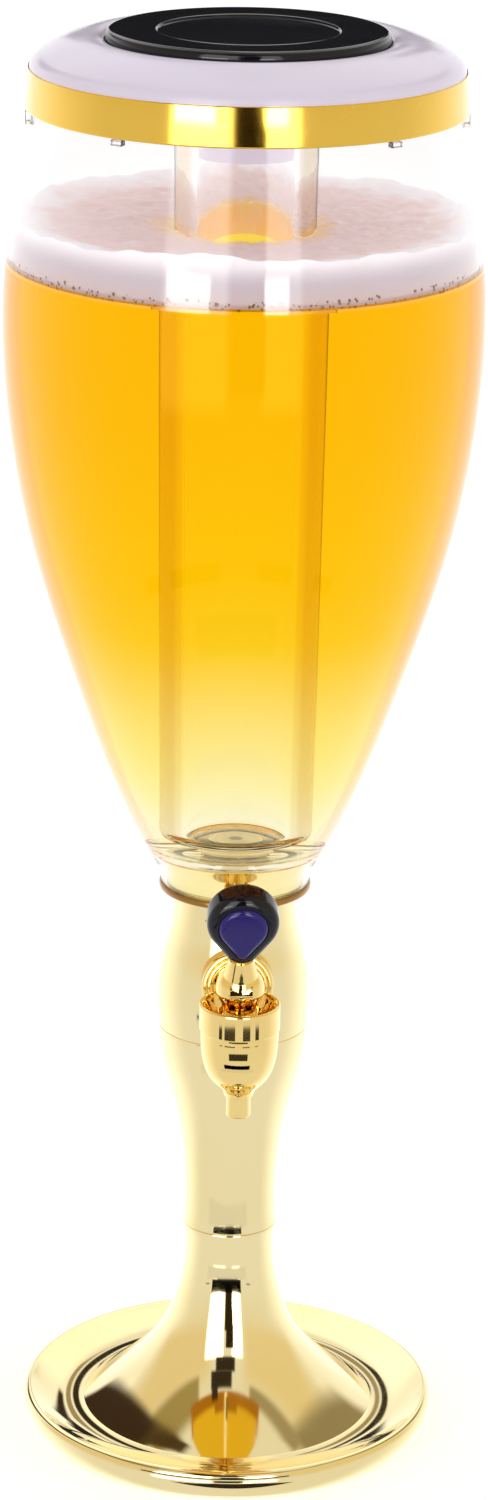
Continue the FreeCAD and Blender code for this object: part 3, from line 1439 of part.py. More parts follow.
def tube_ring(doc, s):
    """The ring in the sleeve's groove that grips the ice tube."""
    body = new_body(doc, "tube_ring")
    middle = s.sleeve_radius - s.tube_ring_groove + s.tube_ring_radius
    primitive(body, "AdditiveTorus", base=(0, 0, s.tube_ring_height), Radius1=middle,
              Radius2=s.tube_ring_radius - s.joint_clearance / 2)
    return body


# ---------------------------------------------------------------- document

PIECES = (
    foot_shell, base_plate, grip_ring, plate_screws, ballast, tie_bolt, tie_washer, tie_nut,
    neck_sleeve, stem_column, stem_head, stem_collar, tank_nut, tank_gasket, tank,
    drain_gasket, drain_fitting, drain_nut, outlet_hose, escutcheon, shank_saddle, shank_nut,
    tap_body, gland, valve_spindle, valve_cup, valve_spring, tap_lever, lever_pin, knob_stud,
    knob_body, knob_badge, lid_shell, lid_band, lid_liner, lid_seal, centre_cap, cap_seal,
    ice_tube, tube_ring,
)


def build():
    """Make the document and give its finished sub-parts."""
    doc = FreeCAD.newDocument("beer_tower_dispenser")
    sheet = Sheet(doc, SIZES)
    parts = [piece(doc, sheet) for piece in PIECES]
    parts.append(hose_clip(doc, sheet, "upper_hose_clip", "vertical"))
    parts.append(hose_clip(doc, sheet, "tap_hose_clip", "level"))
    doc.recompute()
    return doc, parts


def check(doc, parts):
    """Stop if any object failed or any sub-part has no sound shape."""
    failed = [item.Name for item in doc.Objects if {"Invalid", "Error"} & set(item.State)]
    if failed:
        raise RuntimeError("failed objects: " + ", ".join(failed))
    for part in parts:
        if part.Shape.isNull() or not part.Shape.isValid():
            raise RuntimeError("bad shape: " + part.Label)


def export(parts):
    """Write one STEP file for each sub-part."""
    os.makedirs("parts", exist_ok=True)
    for part in parts:
        part.Shape.exportStep(os.path.join("parts", part.Label + ".step"))


document, sub_parts = build()
check(document, sub_parts)
export(sub_parts)
for sub_part in sub_parts:
    print(f"{sub_part.Label:16s} {sub_part.Shape.Volume / 1000:8.2f} cm3  "
          f"{len(sub_part.Shape.Solids)} solid(s)")
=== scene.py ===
import logging
import math
from dataclasses import dataclass
from enum import Enum
from functools import cache
from typing import Callable, Mapping, Optional, Sequence, Union

import bmesh
import bpy
from bmesh.types import BMesh, BMVert
from bpy.types import ID, Material, Node, NodeSocket, NodeTree, Object
from mathutils import Euler, Matrix, Vector, noise


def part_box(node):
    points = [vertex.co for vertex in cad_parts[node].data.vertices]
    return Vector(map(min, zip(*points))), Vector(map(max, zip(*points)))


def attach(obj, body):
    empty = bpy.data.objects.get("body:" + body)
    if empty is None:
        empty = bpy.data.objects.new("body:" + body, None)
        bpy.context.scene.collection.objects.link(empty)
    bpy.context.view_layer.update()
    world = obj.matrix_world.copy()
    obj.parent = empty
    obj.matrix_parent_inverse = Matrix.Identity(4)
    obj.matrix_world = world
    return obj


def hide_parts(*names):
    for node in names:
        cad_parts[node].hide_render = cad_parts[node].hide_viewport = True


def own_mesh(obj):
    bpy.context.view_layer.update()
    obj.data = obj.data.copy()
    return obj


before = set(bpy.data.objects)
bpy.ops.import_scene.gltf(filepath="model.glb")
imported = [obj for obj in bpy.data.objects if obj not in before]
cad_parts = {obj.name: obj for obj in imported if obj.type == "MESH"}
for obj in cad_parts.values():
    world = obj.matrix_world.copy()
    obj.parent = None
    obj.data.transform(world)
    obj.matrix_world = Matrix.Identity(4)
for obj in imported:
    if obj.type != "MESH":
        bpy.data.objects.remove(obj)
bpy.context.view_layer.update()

LOG = logging.getLogger("beer_tower")
MM = 0.001
TINY = 1e-6  # millimetres under which a length counts as nought
MERGE = 1e-7  # metres under which two vertices of a new mesh become one
WELD = 2e-6  # the same for a copy of a node
CREASE, SKIN_CREASE = 32.0, 28.0  # degrees above which an edge stays sharp
CORNER_STEPS = 4
FLAT_TURN, WIDEST_TURN = math.radians(14.0), 2.6  # radians
LOOKS_UP = 0.7  # the height of a normal that looks up more than out
Point = tuple[float, float]
Colour = tuple[float, float, float]
Line = Sequence[Point]
Run = Union[Point, Line]
Sockets = Mapping[str, NodeSocket]
NO_TINT: Colour = (1.0, 1.0, 1.0)


class Body(Enum):
    """The rigid bodies that pieces ride on."""

    TOWER = "tower"
    VALVE = "valve"
    LEVER = "lever"
    LID = "lid"
    CAP = "cap"


# ------------------------------------------------------------------ outlines and meshes

def smooth_run(poles: Sequence[Point], per_span: int = 14) -> list[Point]:
    """Sample a clamped, even cubic spline.

    Args:
        poles: The spline's control points, ends included.
        per_span: How many samples each span of the spline gets.

    Returns:
        The points along the spline, without its first.
    """
    degree = min(3, len(poles) - 1)
    spans = len(poles) - degree
    knots = [0.0] * degree + [index / spans for index in range(spans + 1)] + [1.0] * degree
    points: list[Point] = []
    for step in range(1, spans * per_span + 1):
        place = step / (spans * per_span)
        span = min(int(place * spans), spans - 1) + degree
        work = [Vector(poles[index]).to_2d() for index in range(span - degree, span + 1)]
        for level in range(1, degree + 1):
            for index in range(degree, level - 1, -1):
                low = knots[span - degree + index]
                high = knots[index + 1 + span - level]
                part = (place - low) / (high - low)
                work[index] = work[index - 1].lerp(work[index], part)
        points.append((work[degree].x, work[degree].y))
    return points


def inset(poles: Sequence[Point], wall: float) -> list[Point]:
    """Move control points square to their line, to the left of its direction.

    Args:
        poles: The control points.
        wall: How far they move, in the outline's unit.

    Returns:
        The moved control points.
    """
    moved: list[Point] = []
    for index, (x, y) in enumerate(poles):
        before = poles[max(index - 1, 0)]
        after = poles[min(index + 1, len(poles) - 1)]
        across = Vector((after[0] - before[0], after[1] - before[1])).normalized()
        moved.append((x - wall * across.y, y + wall * across.x))
    return moved


@dataclass
class Outline:
    """A closed outline of radii and heights in millimetres.

    Each run is a point, for a straight line to it, or a row of poles, for a smooth curve that
    starts where the last run ended. A last line closes it.
    """

    start: Point
    runs: Sequence[Run]
    edge: float = 0.2
    fineness: int = 14

    def points(self) -> list[Point]:
        """Give the outline's points, with its sharp corners rounded to the edge radius.

        Returns:
            The points, each once.
        """
        points: list[Point] = [self.start]
        corners: set[int] = {0}
        for run in self.runs:
            if isinstance(run[0], tuple):
                points.extend(smooth_run([points[-1], *run], self.fineness))
            else:
                points.append(run)
            corners.add(len(points) - 1)
        if math.dist(points[0], points[-1]) < TINY:
            points.pop()
        rounded: list[Point] = []
        for index, point in enumerate(points):
            here = Vector(point)
            before = Vector(points[index - 1]) - here
            after = Vector(points[(index + 1) % len(points)]) - here
            if index not in corners or point[0] < TINY or self.edge <= 0.0:
                rounded.append(point)
                continue
            turn = math.pi - before.angle(after, math.pi)
            if turn < FLAT_TURN:
                rounded.append(point)
                continue
            reach = min(self.edge * math.tan(min(turn, WIDEST_TURN) / 2), 0.45 * before.length,
                        0.45 * after.length)
            first = here + before.normalized() * reach
            last = here + after.normalized() * reach
            for step in range(CORNER_STEPS + 1):
                part = step / CORNER_STEPS
                bend = first.lerp(here, part).lerp(here.lerp(last, part), part)
                rounded.append((bend.x, bend.y))
        return rounded


def new_object(name: str, data: ID) -> Object:
    """Put a mesh or a camera into the scene as an object at the origin.

    Args:
        name: The object's name.
        data: Its mesh or camera.

    Returns:
        The object.
    """
    piece = bpy.data.objects.new(name, data)
    bpy.context.scene.collection.objects.link(piece)
    return piece


def finish_mesh(work: BMesh, name: str, crease: float = CREASE) -> Object:
    """Turn a working mesh into an object with outward faces and smooth shading.

    Args:
        work: The mesh in metres; it is freed.
        name: The new object's name.
        crease: The angle in degrees above which an edge stays sharp.

    Returns:
        The new object.
    """
    bmesh.ops.remove_doubles(work, verts=work.verts, dist=MERGE)
    bmesh.ops.recalc_face_normals(work, faces=work.faces)
    limit = math.radians(crease)
    for edge in work.edges:
        edge.smooth = not (len(edge.link_faces) == 2 and edge.calc_face_angle(0.0) > limit)
    for face in work.faces:
        face.smooth = True
    mesh = bpy.data.meshes.new(name)
    work.to_mesh(mesh)
    work.free()
    return new_object(name, mesh)


def spot(radius: float, turn: float, height: float) -> tuple[float, float, float]:
    """Give the place in metres at a radius and a height in millimetres and a turn."""
    return radius * MM * math.cos(turn), radius * MM * math.sin(turn), height * MM


def even_turns(count: int) -> list[float]:
    """Give evenly spaced turns about an axis, in radians."""
    return [2 * math.pi * step / count for step in range(count)]


def bridge(work: BMesh, rings: Sequence[Sequence[BMVert]]) -> None:
    """Close rings of vertices into a skin, the last ring to the first.

    Args:
        work: The mesh that gets the faces.
        rings: The rings, all of one length apart from those that are a single vertex.
    """
    for index, ring in enumerate(rings):
        after = rings[(index + 1) % len(rings)]
        count = max(len(ring), len(after))
        for step in range(count if count > 1 else 0):
            right = (step + 1) % count
            if len(ring) == 1:
                work.faces.new((ring[0], after[right], after[step]))
            elif len(after) == 1:
                work.faces.new((ring[step], ring[right], after[0]))
            else:
                work.faces.new((ring[step], ring[right], after[right], after[step]))


def place_at(middle: Sequence[float], tip: float = 0.0) -> Matrix:
    """Give a place in millimetres, tipped about X by some degrees."""
    return Matrix.Translation(Vector(middle) * MM) @ Matrix.Rotation(math.radians(tip), 4, "X")


def lathe(name: str, outline: Outline, segments: int = 160,
          place: Optional[Matrix] = None) -> Object:
    """Turn a closed outline about the Z axis.

    Args:
        name: The new object's name.
        outline: The outline in millimetres.
        segments: The number of steps round the axis.
        place: Where the turned shape stands, in metres.

    Returns:
        The new object.
    """
    work = bmesh.new()
    turns = even_turns(segments)
    bridge(work, [[work.verts.new(spot(radius, turn, height))
                   for turn in (turns[:1] if radius < TINY else turns)]
                  for radius, height in outline.points()])
    if place is not None:
        bmesh.ops.transform(work, matrix=place, verts=work.verts)
    return finish_mesh(work, name)


def cuboid(name: str, size: Sequence[float], middle: Sequence[float],
           rounding: float = 0.0) -> Object:
    """Make a cuboid, with rounded edges if asked; sizes in millimetres.

    Args:
        name: The new object's name.
        size: Its length along each axis.
        middle: Where its middle stands.
        rounding: How far its edges are rounded.

    Returns:
        The new object.
    """
    work = bmesh.new()
    bmesh.ops.create_cube(work, size=1.0)
    bmesh.ops.scale(work, vec=Vector(size) * MM, verts=work.verts)
    if rounding:
        bmesh.ops.bevel(work, geom=work.edges[:], offset=rounding * MM, segments=3,
                        affect="EDGES", profile=0.5)
    bmesh.ops.translate(work, vec=Vector(middle) * MM, verts=work.verts)
    return finish_mesh(work, name)


def cut(piece: Object, tool: Object) -> Object:
    """Cut one piece out of another.

    Args:
        piece: The piece that is cut; it is removed.
        tool: The shape that is taken away; it is removed.

    Returns:
        The cut piece, under the first piece's name.
    """
    trim = piece.modifiers.new("trim", "BOOLEAN")
    trim.operation, trim.solver, trim.object = "DIFFERENCE", "EXACT", tool
    shaped = piece.evaluated_get(bpy.context.evaluated_depsgraph_get())
    work = bmesh.new()
    work.from_mesh(shaped.to_mesh())
    name = piece.name
    bpy.data.objects.remove(piece)
    bpy.data.objects.remove(tool)
    return finish_mesh(work, name)


def join(name: str, pieces: Sequence[Object]) -> Object:
    """Join pieces into one object.

    Args:
        name: The joined object's name.
        pieces: The objects to join; they are removed.

    Returns:
        The joined object.
    """
    work = bmesh.new()
    for piece in pieces:
        work.from_mesh(piece.data)
        bpy.data.objects.remove(piece)
    mesh = bpy.data.meshes.new(name)
    work.to_mesh(mesh)
    work.free()
    return new_object(name, mesh)


# ------------------------------------------------------------------ node helpers

class Tree:
    """Short ways to lay and link nodes in one tree."""

    def __init__(self, tree: NodeTree) -> None:
        """Hold the tree that the nodes go into."""
        self.tree = tree

    def put(self, node: Node, key: Union[str, int], value: object) -> None:
        """Give an input a value, or link a socket to it.

        Args:
            node: The node.
            key: The input's name or number.
            value: The value or the socket.
        """
        if isinstance(value, NodeSocket):
            self.tree.links.new(value, node.inputs[key])
        elif isinstance(value, tuple) and len(value) == 3 and node.inputs[key].type == "RGBA":
            node.inputs[key].default_value = (*value, 1.0)
        else:
            node.inputs[key].default_value = value

    def fill(self, node: Node, **inputs: object) -> Node:
        """Give a node's inputs their values or sockets, by name with _ for a space.

        Args:
            node: The node.
            **inputs: The values or sockets.

        Returns:
            The node.
        """
        for key, value in inputs.items():
            self.put(node, key.replace("_", " "), value)
        return node

    def add(self, kind: str, settings: Optional[dict[str, object]] = None,
            **inputs: object) -> Node:
        """Lay a node.

        Args:
            kind: The node's type.
            settings: Values for the node's own properties.
            **inputs: Values or sockets for its inputs, by name with _ for a space.

        Returns:
            The new node.
        """
        node = self.tree.nodes.new(kind)
        for key, value in (settings or {}).items():
            setattr(node, key, value)
        return self.fill(node, **inputs)

    def math(self, operation: str, *values: object) -> NodeSocket:
        """Lay a Math node and give its output.

        Args:
            operation: What it works out.
            *values: The values or sockets that it works on.

        Returns:
            The output.
        """
        node = self.add("ShaderNodeMath", {"operation": operation})
        for index, value in enumerate(values):
            self.put(node, index, value)
        return node.outputs[0]

    def mix(self, factor: object, first: object, second: object,
            blend: str = "MIX") -> NodeSocket:
        """Lay a colour Mix node and give its output.

        Args:
            factor: How far it goes from the first to the second.
            first: The first colour.
            second: The second colour.
            blend: How they are blended.

        Returns:
            The mixed colour.
        """
        node = self.add("ShaderNodeMix", {"data_type": "RGBA", "blend_type": blend})
        for index, value in ((0, factor), (6, first), (7, second)):
            self.put(node, index, value)
        return node.outputs[2]

    def ramp(self, value: NodeSocket, low: float, high: float, out_low: float = 0.0,
             out_high: float = 1.0) -> NodeSocket:
        """Lay a smooth, clamped Map Range node and give its output.

        Args:
            value: The value that is mapped.
            low: Where the ramp starts.
            high: Where it ends.
            out_low: What it gives before its start.
            out_high: What it gives after its end.

        Returns:
            The mapped value.
        """
        node = self.add("ShaderNodeMapRange", {"interpolation_type": "SMOOTHSTEP"})
        for index, item in enumerate((value, low, high, out_low, out_high)):
            self.put(node, index, item)
        return node.outputs[0]

    def place(self) -> NodeSocket:
        """Lay the object's own coordinates."""
        return self.add("ShaderNodeTexCoord").outputs["Object"]

    def axis_place(self) -> tuple[NodeSocket, NodeSocket]:
        """Lay a spot's distance from the tower's axis and its height.

        Returns:
            The distance and the height, in metres.
        """
        parts = self.add("ShaderNodeSeparateXYZ", Vector=self.place()).outputs
        squares = [self.math("POWER", parts[key], 2.0) for key in "XY"]
        return self.math("SQRT", self.math("ADD", *squares)), parts["Z"]

    def noise(self, scale: object, detail: float, **inputs: object) -> NodeSocket:
        """Lay a noise over the object's own coordinates and give its value."""
        return self.add("ShaderNodeTexNoise", Vector=self.place(), Scale=scale, Detail=detail,
                        **inputs).outputs["Fac"]

    def bump(self, height: NodeSocket, distance: float, strength: float = 0.5,
             invert: bool = False) -> NodeSocket:
        """Lay a Bump node and give its normal."""
        return self.add("ShaderNodeBump", {"invert": invert}, Strength=strength,
                        Distance=distance, Height=height).outputs["Normal"]

    def group(self, shared: NodeTree, **inputs: object) -> Sockets:
        """Lay a shared shader group and give its outputs."""
        return self.add("ShaderNodeGroup", {"node_tree": shared}, **inputs).outputs


def start_group(kind: str, name: str, inputs: dict[str, object], **outputs: str
                ) -> tuple[NodeTree, Tree, Sockets]:
    """Start a node group.

    Args:
        kind: The tree's type.
        name: The group's name.
        inputs: Each input's default, or its socket type where it has none.
        **outputs: Each output's socket type.

    Returns:
        The group, a helper for it and its inputs.
    """
    group = bpy.data.node_groups.new(name, kind)
    for key, value in inputs.items():
        word = {float: "Float", tuple: "Color"}.get(type(value), value)
        socket = group.interface.new_socket(key, in_out="INPUT",
                                            socket_type=f"NodeSocket{word}")
        if word is not value:
            socket.default_value = value
    for key, word in outputs.items():
        group.interface.new_socket(key, in_out="OUTPUT", socket_type=f"NodeSocket{word}")
    tree = Tree(group)
    return group, tree, tree.add("NodeGroupInput").outputs


# ------------------------------------------------------------------ grown pieces

def end_group(tree: Tree, given: Sockets, points: NodeSocket, piece: NodeSocket,
              turn: object, size: object = (1.0, 1.0, 1.0)) -> None:
    """Set a piece on each point, make it all one mesh and give it its finish.

    Args:
        tree: The helper of the tree that is being built.
        given: The tree's inputs.
        points: The points.
        piece: The geometry that is set on each of them.
        turn: The turn about Z on each point, in radians.
        size: The scale on each point.
    """
    spread = tree.add("GeometryNodeInstanceOnPoints", Points=points, Instance=piece, Scale=size,
                      Rotation=tree.add("ShaderNodeCombineXYZ", Z=turn).outputs[0])
    solid = tree.add("GeometryNodeRealizeInstances", Geometry=spread.outputs[0])
    dressed = tree.add("GeometryNodeSetMaterial", Geometry=solid.outputs[0],
                       Material=given["Finish"])
    tree.add("NodeGroupOutput", Geometry=dressed.outputs[0])


def round_points(tree: Tree, given: Sockets, turn: NodeSocket,
                 height: object) -> NodeSocket:
    """Lay points about the Z axis, each at a turn and a height.

    Args:
        tree: The helper of the tree that is being built.
        given: The tree's inputs.
        turn: Each point's turn, in radians.
        height: Each point's height.

    Returns:
        The points.
    """
    x, y = (tree.math("MULTIPLY", tree.math(side, turn), given["Radius"])
            for side in ("COSINE", "SINE"))
    place = tree.add("ShaderNodeCombineXYZ", X=x, Y=y, Z=height).outputs[0]
    return tree.add("GeometryNodePoints", Count=given["Count"], Position=place).outputs[0]


@cache
def ring_group() -> NodeTree:
    """Build the tree that sets copies of a piece evenly in a ring, each facing outward.

    Returns:
        The tree.
    """
    group, tree, given = start_group("GeometryNodeTree", "ring_of_pieces", {
        "Piece": "Object", "Count": "Int", "Radius": "Float", "Start": "Float",
        "Finish": "Material"}, Geometry="Geometry")
    step = tree.math("DIVIDE", 2 * math.pi, given["Count"])
    turn = tree.math("MULTIPLY_ADD", tree.add("GeometryNodeInputIndex").outputs[0], step,
                     given["Start"])
    piece = tree.add("GeometryNodeObjectInfo", Object=given["Piece"]).outputs["Geometry"]
    end_group(tree, given, round_points(tree, given, turn, 0.0), piece, turn)
    return group


@cache
def froth_group() -> NodeTree:
    """Build the tree that strews small bubbles along a ring, with a fixed seed.

    Returns:
        The tree.
    """
    group, tree, given = start_group("GeometryNodeTree", "froth_line", {
        "Count": "Int", "Radius": "Float", "Height": "Float", "Spread": "Float",
        "Size": "Float", "Seed": "Int", "Finish": "Material"}, Geometry="Geometry")

    def chance(low: float, high: float, shift: int) -> NodeSocket:
        """Lay a random value between two bounds.

        Args:
            low: The lower bound.
            high: The upper bound.
            shift: What is added to the seed.

        Returns:
            The value.
        """
        node = tree.add("FunctionNodeRandomValue", {"data_type": "FLOAT"})
        seed = tree.math("ADD", given["Seed"], float(shift))
        for index, value in ((2, low), (3, high), (8, seed)):
            tree.put(node, index, value)
        return node.outputs[1]

    turn = chance(0.0, 2 * math.pi, 0)
    drift = tree.math("MULTIPLY", tree.math("POWER", chance(0.0, 1.0, 1), 3.0),
                      given["Spread"])
    points = round_points(tree, given, turn, tree.math("ADD", given["Height"], drift))
    ball = tree.add("GeometryNodeMeshUVSphere", Segments=8, Rings=5, Radius=1.0)
    size = tree.math("MULTIPLY", chance(0.4, 1.0, 2), given["Size"])
    end_group(tree, given, points, ball.outputs["Mesh"], turn, size)
    return group


def grow(name: str, group: NodeTree, **values: object) -> Object:
    """Run a Geometry Nodes tree and keep its result as a plain mesh.

    Args:
        name: The new object's name.
        group: The tree.
        **values: The values of the tree's inputs, by name.

    Returns:
        The new object, with no modifier left on it.
    """
    piece = new_object(name, bpy.data.meshes.new(name))
    growth = piece.modifiers.new("growth", "NODES")
    growth.node_group = group
    for item in group.interface.items_tree:
        if item.in_out == "INPUT":
            growth[item.identifier] = values[item.name]
    seen = piece.evaluated_get(bpy.context.evaluated_depsgraph_get())
    mesh = bpy.data.meshes.new_from_object(seen)
    piece.modifiers.remove(growth)
    piece.data = mesh
    return piece


# ------------------------------------------------------------------ finishes

@cache
def handling_group() -> NodeTree:
    """Build the group for a polished surface's faint smears, specks and ripple.

    Returns:
        The group.
    """
    group, tree, given = start_group("ShaderNodeTree", "handled_surface", {
        "Scale": 30.0, "Roughness": 0.08, "Smear": 0.05, "Specks": 0.3},
        Roughness="Float", Specks="Float", Height="Float")
    smear = tree.noise(given["Scale"], 5.0, Roughness=0.6, Distortion=0.6)
    rough = tree.math("MULTIPLY_ADD", tree.ramp(smear, 0.42, 0.72), given["Smear"],
                      given["Roughness"])
    fine = tree.noise(tree.math("MULTIPLY", given["Scale"], 24.0), 2.0)
    ripple = tree.noise(tree.math("MULTIPLY", given["Scale"], 0.6), 1.0)
    tree.add("NodeGroupOutput", Roughness=rough, Height=ripple,
             Specks=tree.math("MULTIPLY", tree.ramp(fine, 0.70, 0.78), given["Specks"]))
    return group


@cache
def grain_group() -> NodeTree:
    """Build the group for a fine moulded or cast grain with a slow drift of colour.

    Returns:
        The group.
    """
    group, tree, given = start_group("ShaderNodeTree", "grained_surface", {
        "Scale": 900.0, "Colour": (0.5, 0.5, 0.5, 1.0), "Drift": 0.12, "Roughness": 0.5},
        Colour="Color", Roughness="Float", Height="Float")
    fine = tree.noise(given["Scale"], 3.0)
    shade = tree.math("MULTIPLY_ADD", tree.noise(28.0, 4.0), given["Drift"], 1.0)
    shade = tree.math("SUBTRACT", shade, tree.math("MULTIPLY", given["Drift"], 0.5))
    rough = tree.math("MULTIPLY_ADD", fine, 0.15, given["Roughness"])
    tree.add("NodeGroupOutput", Colour=tree.mix(1.0, given["Colour"], shade, "MULTIPLY"),
             Roughness=tree.math("SUBTRACT", rough, 0.075), Height=fine)
    return group


def start_material(name: str) -> tuple[Material, Tree, Node]:
    """Start a material and give it with its tree's helper and its Principled shader.

    Args:
        name: The material's name.

    Returns:
        The material, its tree's helper and its Principled shader.
    """
    material = bpy.data.materials.new(name)
    material.use_nodes = True
    return material, Tree(material.node_tree), material.node_tree.nodes["Principled BSDF"]


@dataclass(frozen=True)
class PlatedFinish:
    """Vacuum-plated gold with a clear lacquer."""

    name: str
    colour: Colour
    deep_colour: Colour
    roughness: float = 0.05
    smear: float = 0.05
    speck: Colour = (0.95, 0.88, 0.68)

    def build(self) -> Material:
        """Make the material.

        Returns:
            The material.
        """
        material, tree, shader = start_material(self.name)
        handled = tree.group(handling_group(), Scale=26.0, Roughness=self.roughness,
                             Smear=self.smear, Specks=0.25)
        tint = tree.mix(tree.ramp(tree.noise(9.0, 3.0), 0.35, 0.65), self.colour,
                        self.deep_colour)
        tree.fill(shader, Base_Color=tree.mix(handled["Specks"], tint, self.speck),
                  Metallic=1.0, Roughness=handled["Roughness"], Coat_Weight=0.35,
                  Coat_Roughness=0.03, Normal=tree.bump(handled["Height"], 0.00002, 0.6))
        return material


@dataclass(frozen=True)
class GlossFinish:
    """Glossy moulded plastic."""

    name: str
    colour: Colour
    roughness: float = 0.12
    smear: float = 0.08
    coat: float = 0.3
    drift: float = 0.05
    translucency: float = 0.0
    gloss: float = 0.5

    def build(self) -> Material:
        """Make the material.

        Returns:
            The material.
        """
        material, tree, shader = start_material(self.name)
        handled = tree.group(handling_group(), Scale=34.0, Roughness=self.roughness,
                             Smear=self.smear, Specks=0.5)
        grain = tree.group(grain_group(), Scale=1400.0, Colour=self.colour, Drift=self.drift,
                           Roughness=self.roughness)
        lighter = tuple(min(1.0, part * 1.3 + 0.04) for part in self.colour)
        tree.fill(shader, Base_Color=tree.mix(handled["Specks"], grain["Colour"], lighter),
                  Roughness=handled["Roughness"], Coat_Weight=self.coat, Coat_Roughness=0.05,
                  Specular_IOR_Level=self.gloss, Subsurface_Weight=self.translucency,
                  Subsurface_Radius=(0.004, 0.004, 0.004),
                  Normal=tree.bump(handled["Height"], 0.00002))
        return material


@dataclass(frozen=True)
class MattFinish:
    """Rubber, cast iron or textured plastic."""

    name: str
    colour: Colour
    roughness: float = 0.6
    grain: float = 700.0
    depth: float = 0.0001
    metallic: float = 0.0
    drift: float = 0.25

    def build(self) -> Material:
        """Make the material.

        Returns:
            The material.
        """
        material, tree, shader = start_material(self.name)
        grain = tree.group(grain_group(), Scale=self.grain, Colour=self.colour,
                           Drift=self.drift, Roughness=self.roughness)
        tree.fill(shader, Base_Color=grain["Colour"], Metallic=self.metallic,
                  Roughness=grain["Roughness"],
                  Normal=tree.bump(grain["Height"], self.depth, 0.6))
        return material


@dataclass(frozen=True)
class ClearFinish:
    """Clear moulded plastic with faint flow ripple and a few smears.

    Where it is seen nearly along its wall it takes its edge colour, painted shade along its
    outline.
    """

    name: str
    tint: Colour = NO_TINT
    index: float = 1.49
    shine: Colour = NO_TINT
    edge: Colour = NO_TINT
    edge_start: float = 0.6
    edge_width: float = 0.06

    def build(self) -> Material:
        """Make the material.

        Returns:
            The material.
        """
        material, tree, shader = start_material(self.name)
        handled = tree.group(handling_group(), Scale=14.0, Roughness=0.0, Smear=0.012,
                             Specks=0.0)
        tint = tree.mix(tree.noise(7.0, 2.0), self.tint,
                        tuple(part * 0.985 for part in self.tint))
        # Painted shade: at grazing angles the colour turns to the edge colour.
        facing = tree.add("ShaderNodeLayerWeight", Blend=0.5).outputs["Facing"]
        along = tree.ramp(facing, self.edge_start, self.edge_start + self.edge_width)
        tree.fill(shader, Base_Color=tree.mix(along, tint, self.edge),
                  Roughness=handled["Roughness"], Transmission_Weight=1.0, IOR=self.index,
                  Specular_Tint=self.shine, Normal=tree.bump(handled["Height"], 0.00004))
        return material


@dataclass(frozen=True)
class DrinkFinish:
    """A clear golden lager whose colour changes with height: pale at the drain and deep higher
    up, where the bowl is wide.

    The walls that hold it bend the light, so it has no refraction of its own. Each layer is
    a colour and the two heights in metres between which the drink takes it on.
    """

    name: str = "lager"
    density: float = 9.0
    passes: Colour = (0.999, 0.90, 0.0)
    layers: tuple[tuple[Colour, float, float], ...] = (
        ((1.0, 0.90, 0.50), 0.252, 0.285), ((1.0, 0.61, 0.004), 0.275, 0.350),
        ((1.0, 0.549, 0.004), 0.350, 0.430))
    tube_radius: float = 0.030

    def build(self) -> Material:
        """Make the material.

        Returns:
            The material.
        """
        material, tree, shader = start_material(self.name)
        across, level = tree.axis_place()
        height = tree.math("MULTIPLY_ADD", tree.noise(5.0, 2.0), 0.006, level)
        tint: object = NO_TINT
        for colour, low, high in self.layers:
            tint = tree.mix(tree.ramp(height, low, high), tint, colour)
        # Close to the ice tube the drink is left untinted.
        outside = tree.ramp(across, self.tube_radius, self.tube_radius + 0.002)
        tree.fill(shader, Base_Color=tree.mix(outside, NO_TINT, tint), Roughness=0.0, IOR=1.0,
                  Transmission_Weight=1.0)
        depth = tree.add("ShaderNodeVolumeAbsorption", Color=self.passes, Density=self.density)
        tree.fill(material.node_tree.nodes["Material Output"], Volume=depth.outputs["Volume"])
        return material


@dataclass(frozen=True)
class FoamFinish:
    """Fine beer foam: pale at the wall, thin and amber towards the ice tube, with a side of
    painted shade and a painted glow.
    """

    name: str = "foam"
    rim: Colour = (0.99, 0.94, 0.96)
    # The side and root colours are painted shade: the foam's side is darker than its top, and
    # warmer towards the drink.
    side: Colour = (0.56, 0.47, 0.51)
    root: Colour = (0.62, 0.44, 0.40)
    thin: Colour = (0.86, 0.68, 0.64)
    amber: Colour = (0.98, 0.66, 0.26)
    bottom: float = 0.475
    wall: float = 0.0845
    # A painted glow: the foam gives off a little light in its own colour, standing in for the
    # light it scatters.
    glow: float = 0.16

    def build(self) -> Material:
        """Make the material.

        Returns:
            The material.
        """
        material, tree, shader = start_material(self.name)
        across, height = tree.axis_place()
        patches, streaks = tree.noise(70.0, 6.0), tree.noise(260.0, 3.0)
        edge = tree.math("MULTIPLY_ADD", patches, 0.030, across)
        edge = tree.math("MULTIPLY_ADD", streaks, 0.008, edge)
        tint = tree.mix(tree.ramp(edge, 0.042, 0.060), self.amber, self.thin)
        tint = tree.mix(tree.ramp(edge, 0.086, 0.104), tint, self.rim)
        tint = tree.mix(tree.ramp(streaks, 0.58, 0.72, 0.0, 0.5), tint, self.rim)
        level = tree.math("MULTIPLY_ADD", patches, 0.008, height)
        # Painted shade: faces out at the tank's wall take the darker side colour, turning to the
        # root colour towards the drink.
        skin = tree.mix(tree.ramp(level, self.bottom + 0.001, self.bottom + 0.014), self.root,
                        self.side)
        tint = tree.mix(tree.ramp(across, self.wall, self.wall + 0.002), tint, skin)
        cells = tree.add("ShaderNodeTexVoronoi", Vector=tree.place(), Scale=900.0)
        # The emission here is the painted glow.
        tree.fill(shader, Base_Color=tint, Roughness=0.45, Subsurface_Weight=0.5,
                  Subsurface_Scale=0.006, Subsurface_Radius=(1.0, 0.8, 0.7),
                  Emission_Color=tint, Emission_Strength=self.glow,
                  Normal=tree.bump(cells.outputs["Distance"], 0.00015, invert=True))
        return material


